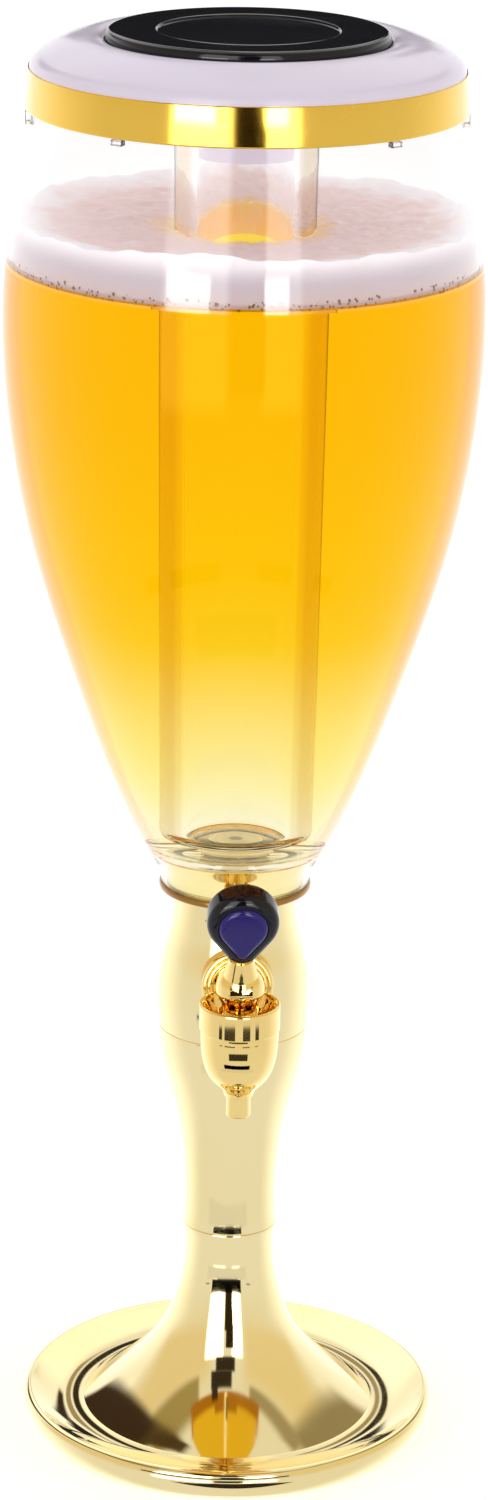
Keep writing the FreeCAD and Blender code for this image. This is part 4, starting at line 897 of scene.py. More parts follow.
class Finish:
    """The tower's finishes, each built once and shared."""

    PALE_GOLD = PlatedFinish("pale_gold", (0.86, 0.73, 0.40), (0.84, 0.69, 0.34))
    CUP_GOLD = PlatedFinish("cup_gold", (0.96, 0.90, 0.58), (0.95, 0.88, 0.52))
    SATIN_GOLD = PlatedFinish("satin_gold", (1.0, 0.98, 0.84), (1.0, 0.97, 0.80), 0.55)
    # Painted shade: the plated gold made deeper for the lid band, as it looks when reflecting
    # dimmer surroundings.
    BAND_SHADED_GOLD = PlatedFinish("rich_gold", (0.80, 0.52, 0.09), (0.76, 0.47, 0.06), 0.09)
    TAP_GOLD = PlatedFinish("tap_gold", (0.86, 0.65, 0.25), (0.82, 0.58, 0.18), 0.03, 0.02)
    # Painted shade for the gap at the stem collar's flange.
    SHADED_GOLD = PlatedFinish("dark_gold", (0.36, 0.19, 0.04), (0.30, 0.14, 0.03), 0.16)
    WHITE = GlossFinish("white_gloss", (0.88, 0.79, 0.92), 0.16, coat=0.05, translucency=0.05,
                        gloss=0.3)
    BLACK = GlossFinish("black_gloss", (0.007, 0.006, 0.009), 0.05, 0.03, 0.05, gloss=0.25)
    INDIGO = GlossFinish("indigo_gloss", (0.020, 0.010, 0.15), 0.16, 0.12, 0.1, 0.3,
                         gloss=0.25)
    # Painted shade: the bubbles' opaque brown stands in for the dark outlines of clear bubbles
    # and the drink seen through them.
    FROTH = GlossFinish("froth_bubbles", (0.42, 0.27, 0.12), 0.1, 0.1, 0.3, 0.4)
    SILICONE = GlossFinish("silicone", (0.86, 0.84, 0.76), 0.35, 0.15, 0.0, 0.1, 0.4)
    MOULDING = MattFinish("grey_moulding", (0.62, 0.61, 0.59), 0.45, 900.0, 0.00005)
    BLACK_MATT = MattFinish("black_moulding", (0.025, 0.025, 0.027), 0.55, 1100.0, 0.0001)
    RUBBER = MattFinish("black_rubber", (0.02, 0.02, 0.02), 0.75, 600.0, 0.00015)
    CARD = MattFinish("black_card", (0.012, 0.009, 0.006), 0.9, 300.0, 0.00002)
    IRON = MattFinish("cast_iron", (0.10, 0.095, 0.09), 0.6, 350.0, 0.0003, 0.8)
    STEEL = MattFinish("zinc_steel", (0.55, 0.55, 0.56), 0.3, 500.0, 0.00002, 1.0, 0.15)
    CLEAR = ClearFinish("clear_plastic")
    # Its edge colour is painted shade along the tank wall's outline over the drink.
    CLEAR_FULL = ClearFinish("clear_plastic_over_drink", index=1.36, shine=(1.0, 0.72, 0.07),
                             edge=(0.84, 0.78, 0.74), edge_start=0.60)
    CLEAR_SKIRT = ClearFinish("clear_plastic_skirt", (1.0, 0.94, 0.70), shine=(1.0, 0.9, 0.6))
    CLEAR_WET = ClearFinish("clear_plastic_wetted", index=1.116)
    # Its edge colour is painted shade along the ice tube's outline in the drink.
    CLEAR_DIPPED = ClearFinish("clear_tube_in_drink", index=1.116, edge=(0.84, 0.73, 0.60),
                               edge_start=0.28)
    CLEAR_TUBE = ClearFinish("clear_tube", (0.99, 0.995, 1.0))
    DRINK = DrinkFinish()
    FOAM = FoamFinish()


@cache
def material_of(finish: object) -> Material:
    """Give a finish's material, building it the first time."""
    return finish.build()


# ------------------------------------------------------------------ pieces

def place_piece(piece: Object, finish: object, body: Body, slot: str,
                *replaced: str) -> Object:
    """Give a new piece its finish, its body and the nodes that it stands for.

    Args:
        piece: The piece, in its place.
        finish: One of the finishes.
        body: The body that it rides on.
        slot: The record's material slot that it belongs to; not used.
        *replaced: The nodes that it stands for.

    Returns:
        The piece.
    """
    dress(piece, finish)
    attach(piece, body.value)
    for node in replaced:
        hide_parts(node)
    LOG.info("piece %s on %s, %d faces", piece.name, body.value, len(piece.data.polygons))
    return piece


def dress(piece: Object, finish: object) -> None:
    """Give an object one finish in place of all that it has."""
    piece.data.materials.clear()
    piece.data.materials.append(material_of(finish))


def dress_nodes(finish: object, *nodes: str) -> None:
    """Give some carried-over nodes their finish and leave their shape as it is.

    Args:
        finish: One of the finishes.
        *nodes: The nodes' names.
    """
    for name in nodes:
        dress(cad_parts[name], finish)
        LOG.info("node %s dressed in %s", name, finish.name)


def skin_nodes(finish: object, body: Body, slot: str, *nodes: str) -> Object:
    """Stand merged, smoothly shaded copies in for some nodes.

    Args:
        finish: One of the finishes.
        body: The body that they ride on.
        slot: The record's material slot that they belong to.
        *nodes: The nodes' names.

    Returns:
        The last copy.
    """
    for node in nodes:
        work = bmesh.new()
        work.from_mesh(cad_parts[node].data)
        bmesh.ops.remove_doubles(work, verts=work.verts, dist=WELD)
        skin = finish_mesh(work, f"{node}_skin", SKIN_CREASE)
        place_piece(skin, finish, body, slot, node)
    return skin


def zone_faces(piece: Object, finish: object, inside: Callable[[float, float, float], bool]
               ) -> None:
    """Give some of a piece's faces a finish of their own.

    Args:
        piece: The piece, with its first finish on.
        finish: The finish for the chosen faces.
        inside: Tells whether a face is chosen, from its height in metres, how far it looks
            away from the tower's axis and how far it looks up.
    """
    piece.data.materials.append(material_of(finish))
    last = len(piece.data.materials) - 1
    for face in piece.data.polygons:
        out = face.center.x * face.normal.x + face.center.y * face.normal.y
        if inside(face.center.z, out, face.normal.z):
            face.material_index = last


def ring_of(name: str, piece: Object, count: int, radius: float, angle: float,
            finish: object) -> Object:
    """Set copies of a piece evenly in a ring.

    Args:
        name: The ring's name.
        piece: The piece; it is removed.
        count: How many there are.
        radius: The ring's radius in millimetres.
        angle: Where the first stands, in degrees.
        finish: The ring's finish.

    Returns:
        The ring, as one object.
    """
    ring = grow(name, ring_group(), Piece=piece, Count=count, Radius=radius * MM,
                Start=math.radians(angle), Finish=material_of(finish))
    bpy.data.objects.remove(piece)
    return ring


# ------------------------------------------------------------------ foot and stem

@dataclass
class Foot:
    """The flared foot and what closes it from below; sizes in millimetres."""

    flare: Line = ((18.7, 84.0), (16.3, 70.6), (20.9, 50.2), (28.8, 28.2), (58.0, 6.5))
    rise: Point = (71.0, 7.2)
    rise_reach: float = 6.0
    crest: Point = (79.5, 12.0)
    lip_radius: float = 83.4
    lip_height: float = 5.6
    lip_base: Point = (80.2, 0.8)
    rebate: Point = (1.2, 2.6)  # how far the plate's step goes in, and its height
    wall: float = 2.2
    bore: float = 15.22
    web: Point = (57.0, 53.0)  # heights at the bore: top, bottom
    screw_circle: float = 62.0
    screw_radius: float = 1.5
    screw_head: Point = (2.8, 1.2)  # radius, height
    screw_edge: float = 0.3
    screw_tip: Point = (0.5, 0.6)  # how far it tapers in, over which height
    driver: tuple[float, float, float] = (3.2, 0.7, 1.2)  # length, width, twice the depth

    def make_shell(self) -> None:
        """Make the plated shell of the foot."""
        seam, valley, rise, crest = self.flare[0], self.flare[-1], self.rise, self.crest
        start = rise[0] - self.rise_reach
        inner = crest[0] - self.wall * 0.7
        step, deep = inner - self.rebate[0], self.rebate[1]
        under = inset(self.flare[::-1], self.wall)
        outline = Outline((self.bore, seam[1]), [
            seam, self.flare[1:], [(start, valley[1] - 1.0), rise, crest],
            [(self.lip_radius, crest[1] - 1.0), (self.lip_radius, self.lip_height),
             self.lip_base],
            (inner, self.lip_base[1]), (inner, deep), (step, deep),
            [(step, crest[1] - self.wall * 1.6), (rise[0], rise[1] - self.wall * 1.15),
             (start, valley[1] - self.wall), (valley[0] - self.wall, valley[1] - self.wall)],
            [under[1], under[2], (self.bore, self.web[1]), (self.bore, self.web[0])]],
            edge=0.55, fineness=18)
        place_piece(lathe("foot_skin", outline, 192), Finish.PALE_GOLD, Body.TOWER,
                    "gold_plate", "foot_shell")

    def make_screws(self) -> None:
        """Make the ring of screws that hold the base plate, heads down."""
        low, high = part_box("plate_screws")
        bottom, top = low[2] / MM, high[2] / MM
        wide, under = self.screw_head[0], bottom + self.screw_head[1]
        screw = lathe("screw", Outline((0.0, bottom), [
            [(wide - self.screw_edge, bottom), (wide, under - self.screw_edge), (wide, under)],
            (self.screw_radius, under), (self.screw_radius, top - self.screw_tip[1]),
            (self.screw_radius - self.screw_tip[0], top), (0.0, top)], 0.1, 6), 32)
        length, width, depth = self.driver
        for size in ((length, width, depth), (width, length, depth)):
            screw = cut(screw, cuboid("driver", size, (0.0, 0.0, bottom)))
        ring = ring_of("plate_screw_ring", screw, 4, self.screw_circle, 0.0, Finish.STEEL)
        place_piece(ring, Finish.STEEL, Body.TOWER, "steel", "plate_screws")

    def build(self) -> None:
        """Make the foot and dress its hidden pieces."""
        self.make_shell()
        self.make_screws()
        skin_nodes(Finish.BLACK_MATT, Body.TOWER, "black_matt", "base_plate")
        skin_nodes(Finish.RUBBER, Body.TOWER, "rubber_dark", "grip_ring")
        dress_nodes(Finish.IRON, "ballast")
        dress_nodes(Finish.STEEL, "tie_bolt", "tie_washer", "tie_nut")


@dataclass
class Stem:
    """The plated stem and its collar; sizes in millimetres."""

    bore: float = 15.22
    wall: float = 2.4
    web: Point = (104.0, 101.0)  # heights: top, bottom
    web_hole: float = 3.2
    column: Line = ((18.7, 84.0), (17.5, 92.0), (18.3, 129.0), (28.9, 151.0), (29.6, 169.0))
    head: Line = ((29.6, 169.0), (30.5, 182.0), (29.4, 198.0), (22.6, 214.0), (25.4, 225.6))
    shank_hole: float = 5.3
    shank_height: float = 195.0
    drill_reach: float = 9.0
    flange_top: float = 228.4
    spigot: Point = (21.1, 2.0)  # radius, how far its inner curve is raised

    def make_column(self) -> None:
        """Make the waisted lower half of the stem."""
        inner = inset(self.column, self.wall)
        bottom, top = self.column[0], self.column[-1]
        outline = Outline((self.bore, bottom[1]), [
            bottom, self.column[1:], (top[0] - self.wall, top[1]),
            [inner[3], (self.bore, inner[2][1]), (self.bore, self.web[0])],
            (self.web_hole, self.web[0]), (self.web_hole, self.web[1]),
            (self.bore, self.web[1])], edge=0.5, fineness=20)
        place_piece(lathe("stem_column_skin", outline, 160), Finish.PALE_GOLD,
                    Body.TOWER, "gold_plate", "stem_column")

    def make_head(self) -> None:
        """Make the upper half of the stem, with the hole for the tap's shank."""
        inner = inset(self.head, self.wall)[::-1]
        start = (self.head[0][0] - self.wall, self.head[0][1])
        spigot = self.spigot[0]
        outline = Outline(start, [
            self.head[0], self.head[1:], (spigot, self.head[-1][1]),
            [(spigot, inner[1][1] + self.spigot[1]), *inner[1:4], start]],
            edge=0.5, fineness=20)
        hole, reach = self.shank_hole, self.drill_reach
        drill = lathe("shank_drill", Outline((0.0, -reach), [
            (hole, -reach), (hole, reach), (0.0, reach)], 0.0), 48,
            place_at((0.0, -self.head[1][0], self.shank_height), 90.0))
        place_piece(cut(lathe("stem_head_skin", outline, 192), drill),
                    Finish.PALE_GOLD, Body.TOWER, "gold_plate", "stem_head")

    def build(self) -> None:
        """Make the stem and dress the pieces inside it."""
        self.make_column()
        self.make_head()
        collar = skin_nodes(Finish.CUP_GOLD, Body.TOWER, "gold_plate", "stem_collar")
        # Painted shade: the collar's outward faces below its flange top take the shaded gold.
        zone_faces(collar, Finish.SHADED_GOLD,
                   lambda height, out, up: height < self.flange_top * MM and out > 0.0)
        dress_nodes(Finish.MOULDING, "neck_sleeve", "tank_nut", "shank_saddle")


# ------------------------------------------------------------------ tank and drink

@dataclass
class Tank:
    """The clear goblet tank; sizes in millimetres."""

    wall: float = 2.2
    floor: Point = (246.0, 243.0)  # heights: top, bottom
    hole: float = 5.2
    stub: tuple[float, float, float] = (19.0, 16.5, 206.0)  # outer and inner radius, end
    skirt: Line = ((28.9, 228.4), (28.9, 233.0), (31.8, 237.0), (36.4, 246.0))
    bowl: Line = ((36.4, 246.0), (45.5, 261.3), (66.1, 319.7), (86.3, 382.1), (94.6, 468.7),
                  (83.9, 507.0), (78.1, 541.0))
    drink_level: float = 475.0
    level_slack: float = 0.3
    stop_top: float = 531.3
    stop_span: Point = (79.2, 82.3)  # radii: root, reach
    # Each pair of stops: its name, where the first stands, its length and its height.
    stops: tuple[tuple[str, float, float, float], ...] = (
        ("stops_left", -52.0, 5.0, 2.2), ("stops_right", 52.0, 5.0, 2.2),
        ("lugs", 0.0, 16.0, 5.2))

    def inside(self) -> list[Point]:
        """Give the poles of the bowl's inner wall, from the floor up to the mouth.

        Returns:
            The poles.
        """
        inner = inset(self.bowl, self.wall)
        return [(self.bowl[0][0] - self.wall * 1.1, self.floor[0]), *inner[1:6],
                (self.bowl[6][0] - self.wall, self.bowl[6][1])]

    def make_wall(self) -> Object:
        """Make the tank's clear wall, floor, skirt and stub.

        Returns:
            The wall.
        """
        under = inset(self.skirt, self.wall)
        inside, (top, bottom) = self.inside(), self.floor
        stub, stub_in, stub_end = self.stub
        outline = Outline((self.hole, top), [
            inside[0], inside[1:], self.bowl[6], self.bowl[5::-1], self.skirt[2::-1],
            (self.skirt[0][0] - self.wall, self.skirt[0][1]),
            [under[1], under[2], (under[3][0] - 2.0, bottom)], (stub, bottom),
            (stub, stub_end), (stub_in, stub_end), (stub_in, bottom), (self.hole, bottom)],
            edge=0.5, fineness=22)
        return lathe("tank_wall", outline, 192)

    def make_stops(self, name: str, angle: float, length: float, height: float) -> Object:
        """Make a pair of rounded stops on the tank's shoulder, opposite each other.

        Args:
            name: The new object's name.
            angle: Where the first stands round the tank, in degrees.
            length: How long each is round the tank.
            height: How high each is.

        Returns:
            The pair.
        """
        root, reach = self.stop_span
        stop = cuboid("stop", (reach - root, length, height),
                      (0.0, 0.0, self.stop_top - height / 2), 0.5)
        return ring_of(name, stop, 2, (reach + root) / 2, angle, Finish.CLEAR)

    def is_filled(self, height: float) -> bool:
        """Tell whether a height in metres is a height of the drink."""
        return (self.floor[0] - self.level_slack) * MM < height < self.drink_level * MM

    def build(self) -> None:
        """Make the tank and dress its fittings."""
        stops = [self.make_stops(*stop) for stop in self.stops]
        tank = join("tank_shell", [self.make_wall(), *stops])
        place_piece(tank, Finish.CLEAR, Body.TOWER, "clear_plastic", "tank")
        zone_faces(tank, Finish.CLEAR_WET, lambda height, out, up: (
            self.is_filled(height) and (out < 0.0 or up > LOOKS_UP)))
        zone_faces(tank, Finish.CLEAR_FULL, lambda height, out, up: (
            self.is_filled(height) and out > 0.0 and up <= LOOKS_UP))
        zone_faces(tank, Finish.CLEAR_SKIRT, lambda height, out, up: (
            height <= (self.floor[0] - self.level_slack) * MM and out > 0.0))
        dress_nodes(Finish.SILICONE, "outlet_hose")
        skin_nodes(Finish.SILICONE, Body.TOWER, "silicone", "tank_gasket", "drain_gasket")
        skin_nodes(Finish.SATIN_GOLD, Body.TOWER, "gold_metal", "drain_fitting", "drain_nut")
        dress_nodes(Finish.STEEL, "upper_hose_clip", "tap_hose_clip")


def radius_at(wall: Sequence[Point], height: float) -> float:
    """Give the radius at a height of a line of points that goes up.

    Args:
        wall: The points, from the lowest up.
        height: The height.

    Returns:
        The radius.
    """
    for first, last in zip(wall, wall[1:]):
        if height <= last[1]:
            part = (height - first[1]) / max(last[1] - first[1], 1e-9)
            return first[0] + (last[0] - first[0]) * part
    return wall[-1][0]


@dataclass(frozen=True)
class IceTube:
    """The clear ice tube that hangs from the lid; sizes in millimetres."""

    bottom: float = 249.8
    top: float = 549.0
    foot_radius: float = 23.4
    top_radius: float = 27.4
    bend: float = 6.0
    wall: float = 1.8
    bore: Point = (25.2, 511.0)  # radius, height of its lower end
    drink_level: float = 475.0

    def radius(self, height: float) -> float:
        """Give its outer radius at a height.

        Args:
            height: The height.

        Returns:
            The radius.
        """
        base = self.bottom + self.bend
        part = (height - base) / (self.top - base)
        return self.foot_radius + (self.top_radius - self.foot_radius) * part

    def make(self) -> None:
        """Make the tube, with a finish of its own where it dips into the drink."""
        foot, flat = self.foot_radius, self.foot_radius - self.bend
        base, inner, floor = self.bottom + self.bend, foot - self.wall, self.bottom + self.wall
        outline = Outline((0.0, self.bottom), [
            (flat, self.bottom), [(foot, self.bottom), (foot, base)],
            (self.top_radius, self.top), (self.bore[0], self.top), self.bore, (inner, base),
            [(inner, floor), (flat, floor)], (0.0, floor)], edge=0.4)
        tube = lathe("ice_tube_wall", outline, 160)
        place_piece(tube, Finish.CLEAR_TUBE, Body.LID, "clear_plastic", "ice_tube")
        zone_faces(tube, Finish.CLEAR_DIPPED, lambda height, out, up: (
            height < self.drink_level * MM and (up < -0.5 or out > 0.0)))


@dataclass
class Drink:
    """The lager in the tank and the foam on it; sizes in millimetres."""

    tank: Tank
    tube: IceTube = IceTube()
    surface: float = 475.0
    foam_top: float = 489.0
    foam_root: float = 0.8
    foam_climb: float = 3.0
    sunk: float = 0.6
    # The foam's edge: how high each wave is, how often it comes and where it starts.
    waves: tuple[tuple[float, float, float], ...] = (
        (1.0, 3.0, 0.7), (0.6, 7.0, 2.0), (0.4, 17.0, 0.0), (0.25, 41.0, 1.0))

    def wall_points(self, low: float, high: float, outward: float) -> list[Point]:
        """Give points up the tank's inner wall between two heights, moved outward.

        Args:
            low: The lower height.
            high: The upper height.
            outward: How far the points are moved.

        Returns:
            The points, from the lowest up.
        """
        inside = self.tank.inside()
        points = [inside[0], *smooth_run(inside, 22)]
        first, last = ((radius_at(points, edge) + outward, edge) for edge in (low, high))
        return [first, *((radius + outward, height) for radius, height in points
                         if low < height < high), last]

    def make_lager(self) -> None:
        """Make the drink, which reaches a little into the walls that hold it."""
        wall = self.wall_points(self.tank.floor[0], self.surface, self.sunk)
        floor, low = self.tank.floor[0] - self.sunk, self.tube.bottom + self.sunk
        corner, bend = self.tube.foot_radius - self.sunk, self.tube.bend - self.sunk
        outline = Outline((0.0, floor), [
            (wall[0][0] - 1.0, floor), *wall[1:],
            (self.tube.radius(self.surface) - self.sunk, self.surface), (corner, low + bend),
            [(corner, low), (corner - bend, low)], (0.0, low)], edge=0.0)
        place_piece(lathe("lager_body", outline, 192), Finish.DRINK, Body.TOWER,
                    "clear_plastic")

    def climb(self, angle: float) -> float:
        """Give the height to which the foam climbs the wall at an angle."""
        wave = sum(size * math.sin(angle * often + start) for size, often, start in self.waves)
        return self.foam_top + self.foam_climb + 1.2 * wave

    def make_foam(self) -> None:
        """Make the foam's solid ring with a lumpy top."""
        work = bmesh.new()
        turns, across, down = even_turns(220), 46, 8
        inner, base = self.tube.radius(self.surface) + 0.2, self.surface - self.foam_root
        wall = self.wall_points(self.surface - 1.0, self.foam_top + 12.0, -0.06)

        def on_top(turn: float, part: float) -> Sequence[float]:
            """Give a spot of the lumpy top, part of the way from the tube to the wall.

            Args:
                turn: The spot's turn about the axis.
                part: How far it is from the tube to the wall.

            Returns:
                The spot, in metres.
            """
            climb = self.climb(turn)
            top = self.foam_top + (climb - self.foam_top) * part ** 6
            radius = inner + (radius_at(wall, climb) - inner) * part
            place = Vector((radius * math.cos(turn), radius * math.sin(turn), 0.0)) * 0.11
            lump = 1.1 * noise.fractal(place, 0.6, 2.0, 4) - 2.5 * (1 - part)
            return spot(radius, turn, top + lump * (1 - part ** 8))

        def on_side(turn: float, part: float) -> Sequence[float]:
            """Give a spot of the side, part of the way from the top down to the drink."""
            height = self.climb(turn) * (1 - part) + base * part
            return spot(radius_at(wall, height), turn, height)

        rings = [[work.verts.new(on_top(turn, step / across)) for turn in turns]
                 for step in range(across + 1)]
        rings += [[work.verts.new(on_side(turn, step / down)) for turn in turns]
                  for step in range(1, down + 1)]
        rings.append([work.verts.new(spot(inner, turn, base)) for turn in turns])
        bridge(work, rings)
        place_piece(finish_mesh(work, "foam_body", 60.0), Finish.FOAM, Body.TOWER,
                    "clear_plastic")

    def make_froth(self) -> None:
        """Make the line of bubbles where the foam meets the drink at the wall."""
        wall = self.wall_points(self.surface - 1.0, self.foam_top, -0.55)
        froth = grow("froth_line", froth_group(), Count=1000,
                     Radius=radius_at(wall, self.surface) * MM, Height=(self.surface - 0.4) * MM,
                     Spread=0.0030, Size=0.00075, Seed=7, Finish=material_of(Finish.FROTH))
        place_piece(froth, Finish.FROTH, Body.TOWER, "clear_plastic")

    def build(self) -> None:
        """Make the drink and its foam."""
        self.make_lager()
        self.make_foam()
        self.make_froth()


# ------------------------------------------------------------------ lid

@dataclass
class Lid:
    """The lid with its band, cap and ice tube; sizes in millimetres."""

    tube: IceTube = IceTube()
    skirt_bottom: float = 532.0
    skirt_radius: float = 80.9
    skirt_wall: float = 0.9
    wall: float = 2.0
    crown: Line = ((80.9, 546.5), (80.8, 549.0), (77.2, 552.6), (70.4, 555.6), (64.9, 557.8),
                   (57.1, 559.0), (53.4, 556.8))
    recess: float = 554.0
    sleeve_radius: float = 24.6
    sleeve_inside: float = 22.4
    sleeve_bottom: float = 515.0
    groove: tuple[float, float, float] = (23.7, 530.15, 531.85)  # radius, two heights
    band_gap: float = 0.05
    band: tuple[Run, ...] = ((82.2, 531.7), ((82.7, 531.7), (82.7, 532.5)), (81.5, 546.2),
                             (81.3, 546.5))
    cap_middle: Point = (0.0, 560.5)
    cap: tuple[Run, ...] = (
        (33.6, 559.8), (34.0, 560.3), (34.3, 560.6),
        ((42.0, 560.85), (50.6, 560.85), (52.9, 560.7), (52.9, 557.4)), (52.9, 554.7),
        (22.1, 554.7), (22.1, 541.0), (20.3, 541.0), (20.3, 556.9), (0.0, 556.9))

    def make_shell(self) -> None:
        """Make the white lid with its sleeve."""
        inner = inset(self.crown, self.wall)[::-1]
        skirt, inside = self.skirt_radius, self.skirt_radius - self.skirt_wall
        dip, under = self.crown[-1][0], self.recess - self.wall
        sleeve, (groove, low, high) = self.sleeve_radius, self.groove
        outline = Outline((skirt, self.skirt_bottom), [
            self.crown[0], self.crown[1:], (dip, self.recess),
            (self.sleeve_inside, self.recess), (self.sleeve_inside, self.sleeve_bottom),
            (sleeve, self.sleeve_bottom), (sleeve, low), (groove, low), (groove, high),
            (sleeve, high), (sleeve, under), (dip + self.wall, under),
            [(dip + self.wall + 1.0, inner[1][1]), *inner[2:5],
             (inside - self.wall * 0.6, inner[5][1]), (inside, self.crown[0][1])],
            (inside, self.skirt_bottom)], edge=0.3, fineness=18)
        place_piece(lathe("lid_skin", outline, 192), Finish.WHITE, Body.LID,
                    "white_lid", "lid_shell")

    def make_band(self) -> None:
        """Make the plated band round the lid."""
        inner = self.skirt_radius + self.band_gap
        outline = Outline((inner, self.band[0][1]), [*self.band, (inner, self.band[-1][1])],
                          edge=0.12)
        # The band's deeper gold is painted shade.
        place_piece(lathe("lid_band_skin", outline, 256), Finish.BAND_SHADED_GOLD, Body.LID,
                    "gold_plate", "lid_band")

    def make_cap(self) -> None:
        """Make the black cap with its raised ring and shallow cone."""
        outline = Outline(self.cap_middle, self.cap, edge=0.25, fineness=18)
        place_piece(lathe("cap_skin", outline, 192), Finish.BLACK, Body.CAP,
                    "black_gloss", "centre_cap")

    def build(self) -> None:
        """Make the lid, the cap and the ice tube."""
        self.make_shell()
        self.make_band()
        self.tube.make()
        self.make_cap()
        skin_nodes(Finish.WHITE, Body.LID, "white_lid", "lid_liner")
        skin_nodes(Finish.SILICONE, Body.LID, "silicone", "lid_seal", "tube_ring")
        skin_nodes(Finish.RUBBER, Body.CAP, "rubber_dark", "cap_seal")


# ------------------------------------------------------------------ tap

@dataclass
class Tap:
    """The tap, its valve, its lever and its knob; sizes in millimetres."""

    reach: float = 48.0
    valve_travel: float = 2.114
    shank_height: float = 195.0
    spout_bore: float = 3.5
    spout_radius: float = 4.8
    spout: Point = (157.1, 148.5)  # heights: top, tip
    bell: Line = ((6.6, 160.3), (11.6, 162.6), (15.3, 173.0), (15.1, 184.6))
    band_radius: float = 15.6
    rim: float = 195.0
    rim_inside: float = 14.4
    dish: Line = ((12.8, 193.6), (11.4, 189.0), (9.4, 188.6))
    gland_hole: float = 7.65
    chamber: Point = (6.8, 182.4)  # radius, top
    seat: float = 163.6
    block: Point = (10.2, 16.0)  # how far behind the cup it starts and ends
    block_width: float = 12.0
    block_bottom: float = 176.0
    boss_radius: float = 8.0
    shank_bore: float = 2.8
    shank: Line = ((5.0, 29.0), (4.1, 29.0), (4.1, 36.5))

    def make_cup(self) -> Object:
        """Make the turned part: spout, bell, band, rim, dish and valve chamber.

        Returns:
            The turned part.
        """
        bore, pipe, edge, rim = self.spout_bore, self.spout_radius, self.band_radius, self.rim
        (top, tip), band, (chamber, roof) = self.spout, self.bell[-1][1], self.chamber
        outline = Outline((bore, tip + 0.6), [
            (bore + 0.4, tip), (pipe - 0.4, tip), (pipe, tip + 0.5), (pipe, top),
            (self.bell[0][0] - 0.9, top), self.bell, (edge - 0.1, band), (edge, band + 0.4),
            (edge, band + 1.0), (edge, rim - 1.4), (edge, rim - 0.8),
            [(edge, rim), (self.rim_inside, rim)], self.dish,
            (self.gland_hole, self.dish[-1][1]), (self.gland_hole, roof), (chamber, roof),
            (chamber, self.seat), (bore, self.seat)], edge=0.2, fineness=16)
        return lathe("tap_cup", outline, 128, place_at((0.0, -self.reach, 0.0)))

    def make_block(self) -> Object:
        """Make the inlet block behind the cup.

        Returns:
            The block.
        """
        near, far = self.block
        height = self.shank_height - self.block_bottom
        return cuboid("tap_block", (self.block_width, far - near, height),
                      (0.0, (near + far) / 2 - self.reach, self.shank_height - height / 2), 0.4)

    def make_shank(self) -> Object:
        """Make the boss and the shank that goes through the stem.

        Returns:
            The shank.
        """
        near, far = self.block
        outline = Outline((self.shank_bore, near), [
            (self.boss_radius, near), (self.boss_radius, far), (self.shank[0][0], far),
            *self.shank, (self.shank_bore, self.shank[-1][1])], edge=0.3)
        return lathe("tap_shank", outline, 64,
                     place_at((0.0, -self.reach, self.shank_height), -90.0))

    def build(self) -> None:
        """Make the tap and dress its pieces."""
        body = join("tap_body_skin", [self.make_cup(), self.make_block(), self.make_shank()])
        place_piece(body, Finish.TAP_GOLD, Body.TOWER, "gold_metal", "tap_body")
        skin_nodes(Finish.TAP_GOLD, Body.TOWER, "gold_metal", "escutcheon", "gland")
        skin_nodes(Finish.TAP_GOLD, Body.LEVER, "gold_metal", "tap_lever")
        skin_nodes(Finish.BLACK, Body.LEVER, "black_gloss", "knob_body")
        skin_nodes(Finish.INDIGO, Body.LEVER, "indigo_badge", "knob_badge")
        skin_nodes(Finish.STEEL, Body.LEVER, "steel", "lever_pin")
        dress_nodes(Finish.TAP_GOLD, "shank_nut")
        dress_nodes(Finish.STEEL, "knob_stud")
        dress_nodes(Finish.SILICONE, "valve_cup")
        spring = skin_nodes(Finish.STEEL, Body.VALVE, "steel", "valve_spindle", "valve_spring")
        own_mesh(spring)


# ------------------------------------------------------------------ stage

@dataclass(frozen=True)
class Card:
    """A soft-edged patch that reflections show, from one direction to another: most stand for
    the studio's surroundings, a few are a painted reflection of the tower's bowl and tap.

    Azimuths are degrees to the right of the camera as seen from the tower; the lean is how
    many of them the patch moves for each degree of elevation.
    """

    left: float
    right: float
    low: float
    high: float
    light: Colour
    edge: float = 2.0
    lean: float = 0.0


def reflect_only(name: str, shapes: Sequence[Sequence[Sequence[float]]],
                 material: Material) -> None:
    """Put flat shapes on the stage that only reflections show.

    Args:
        name: The new object's name.
        shapes: Each shape's corners, in metres.
        material: What they are made of.
    """
    work = bmesh.new()
    for shape in shapes:
        work.faces.new([work.verts.new(corner) for corner in shape])
    card = finish_mesh(work, name)
    card.data.materials.append(material)
    for ray in ("camera", "diffuse", "shadow", "transmission", "volume_scatter"):
        setattr(card, f"visible_{ray}", False)


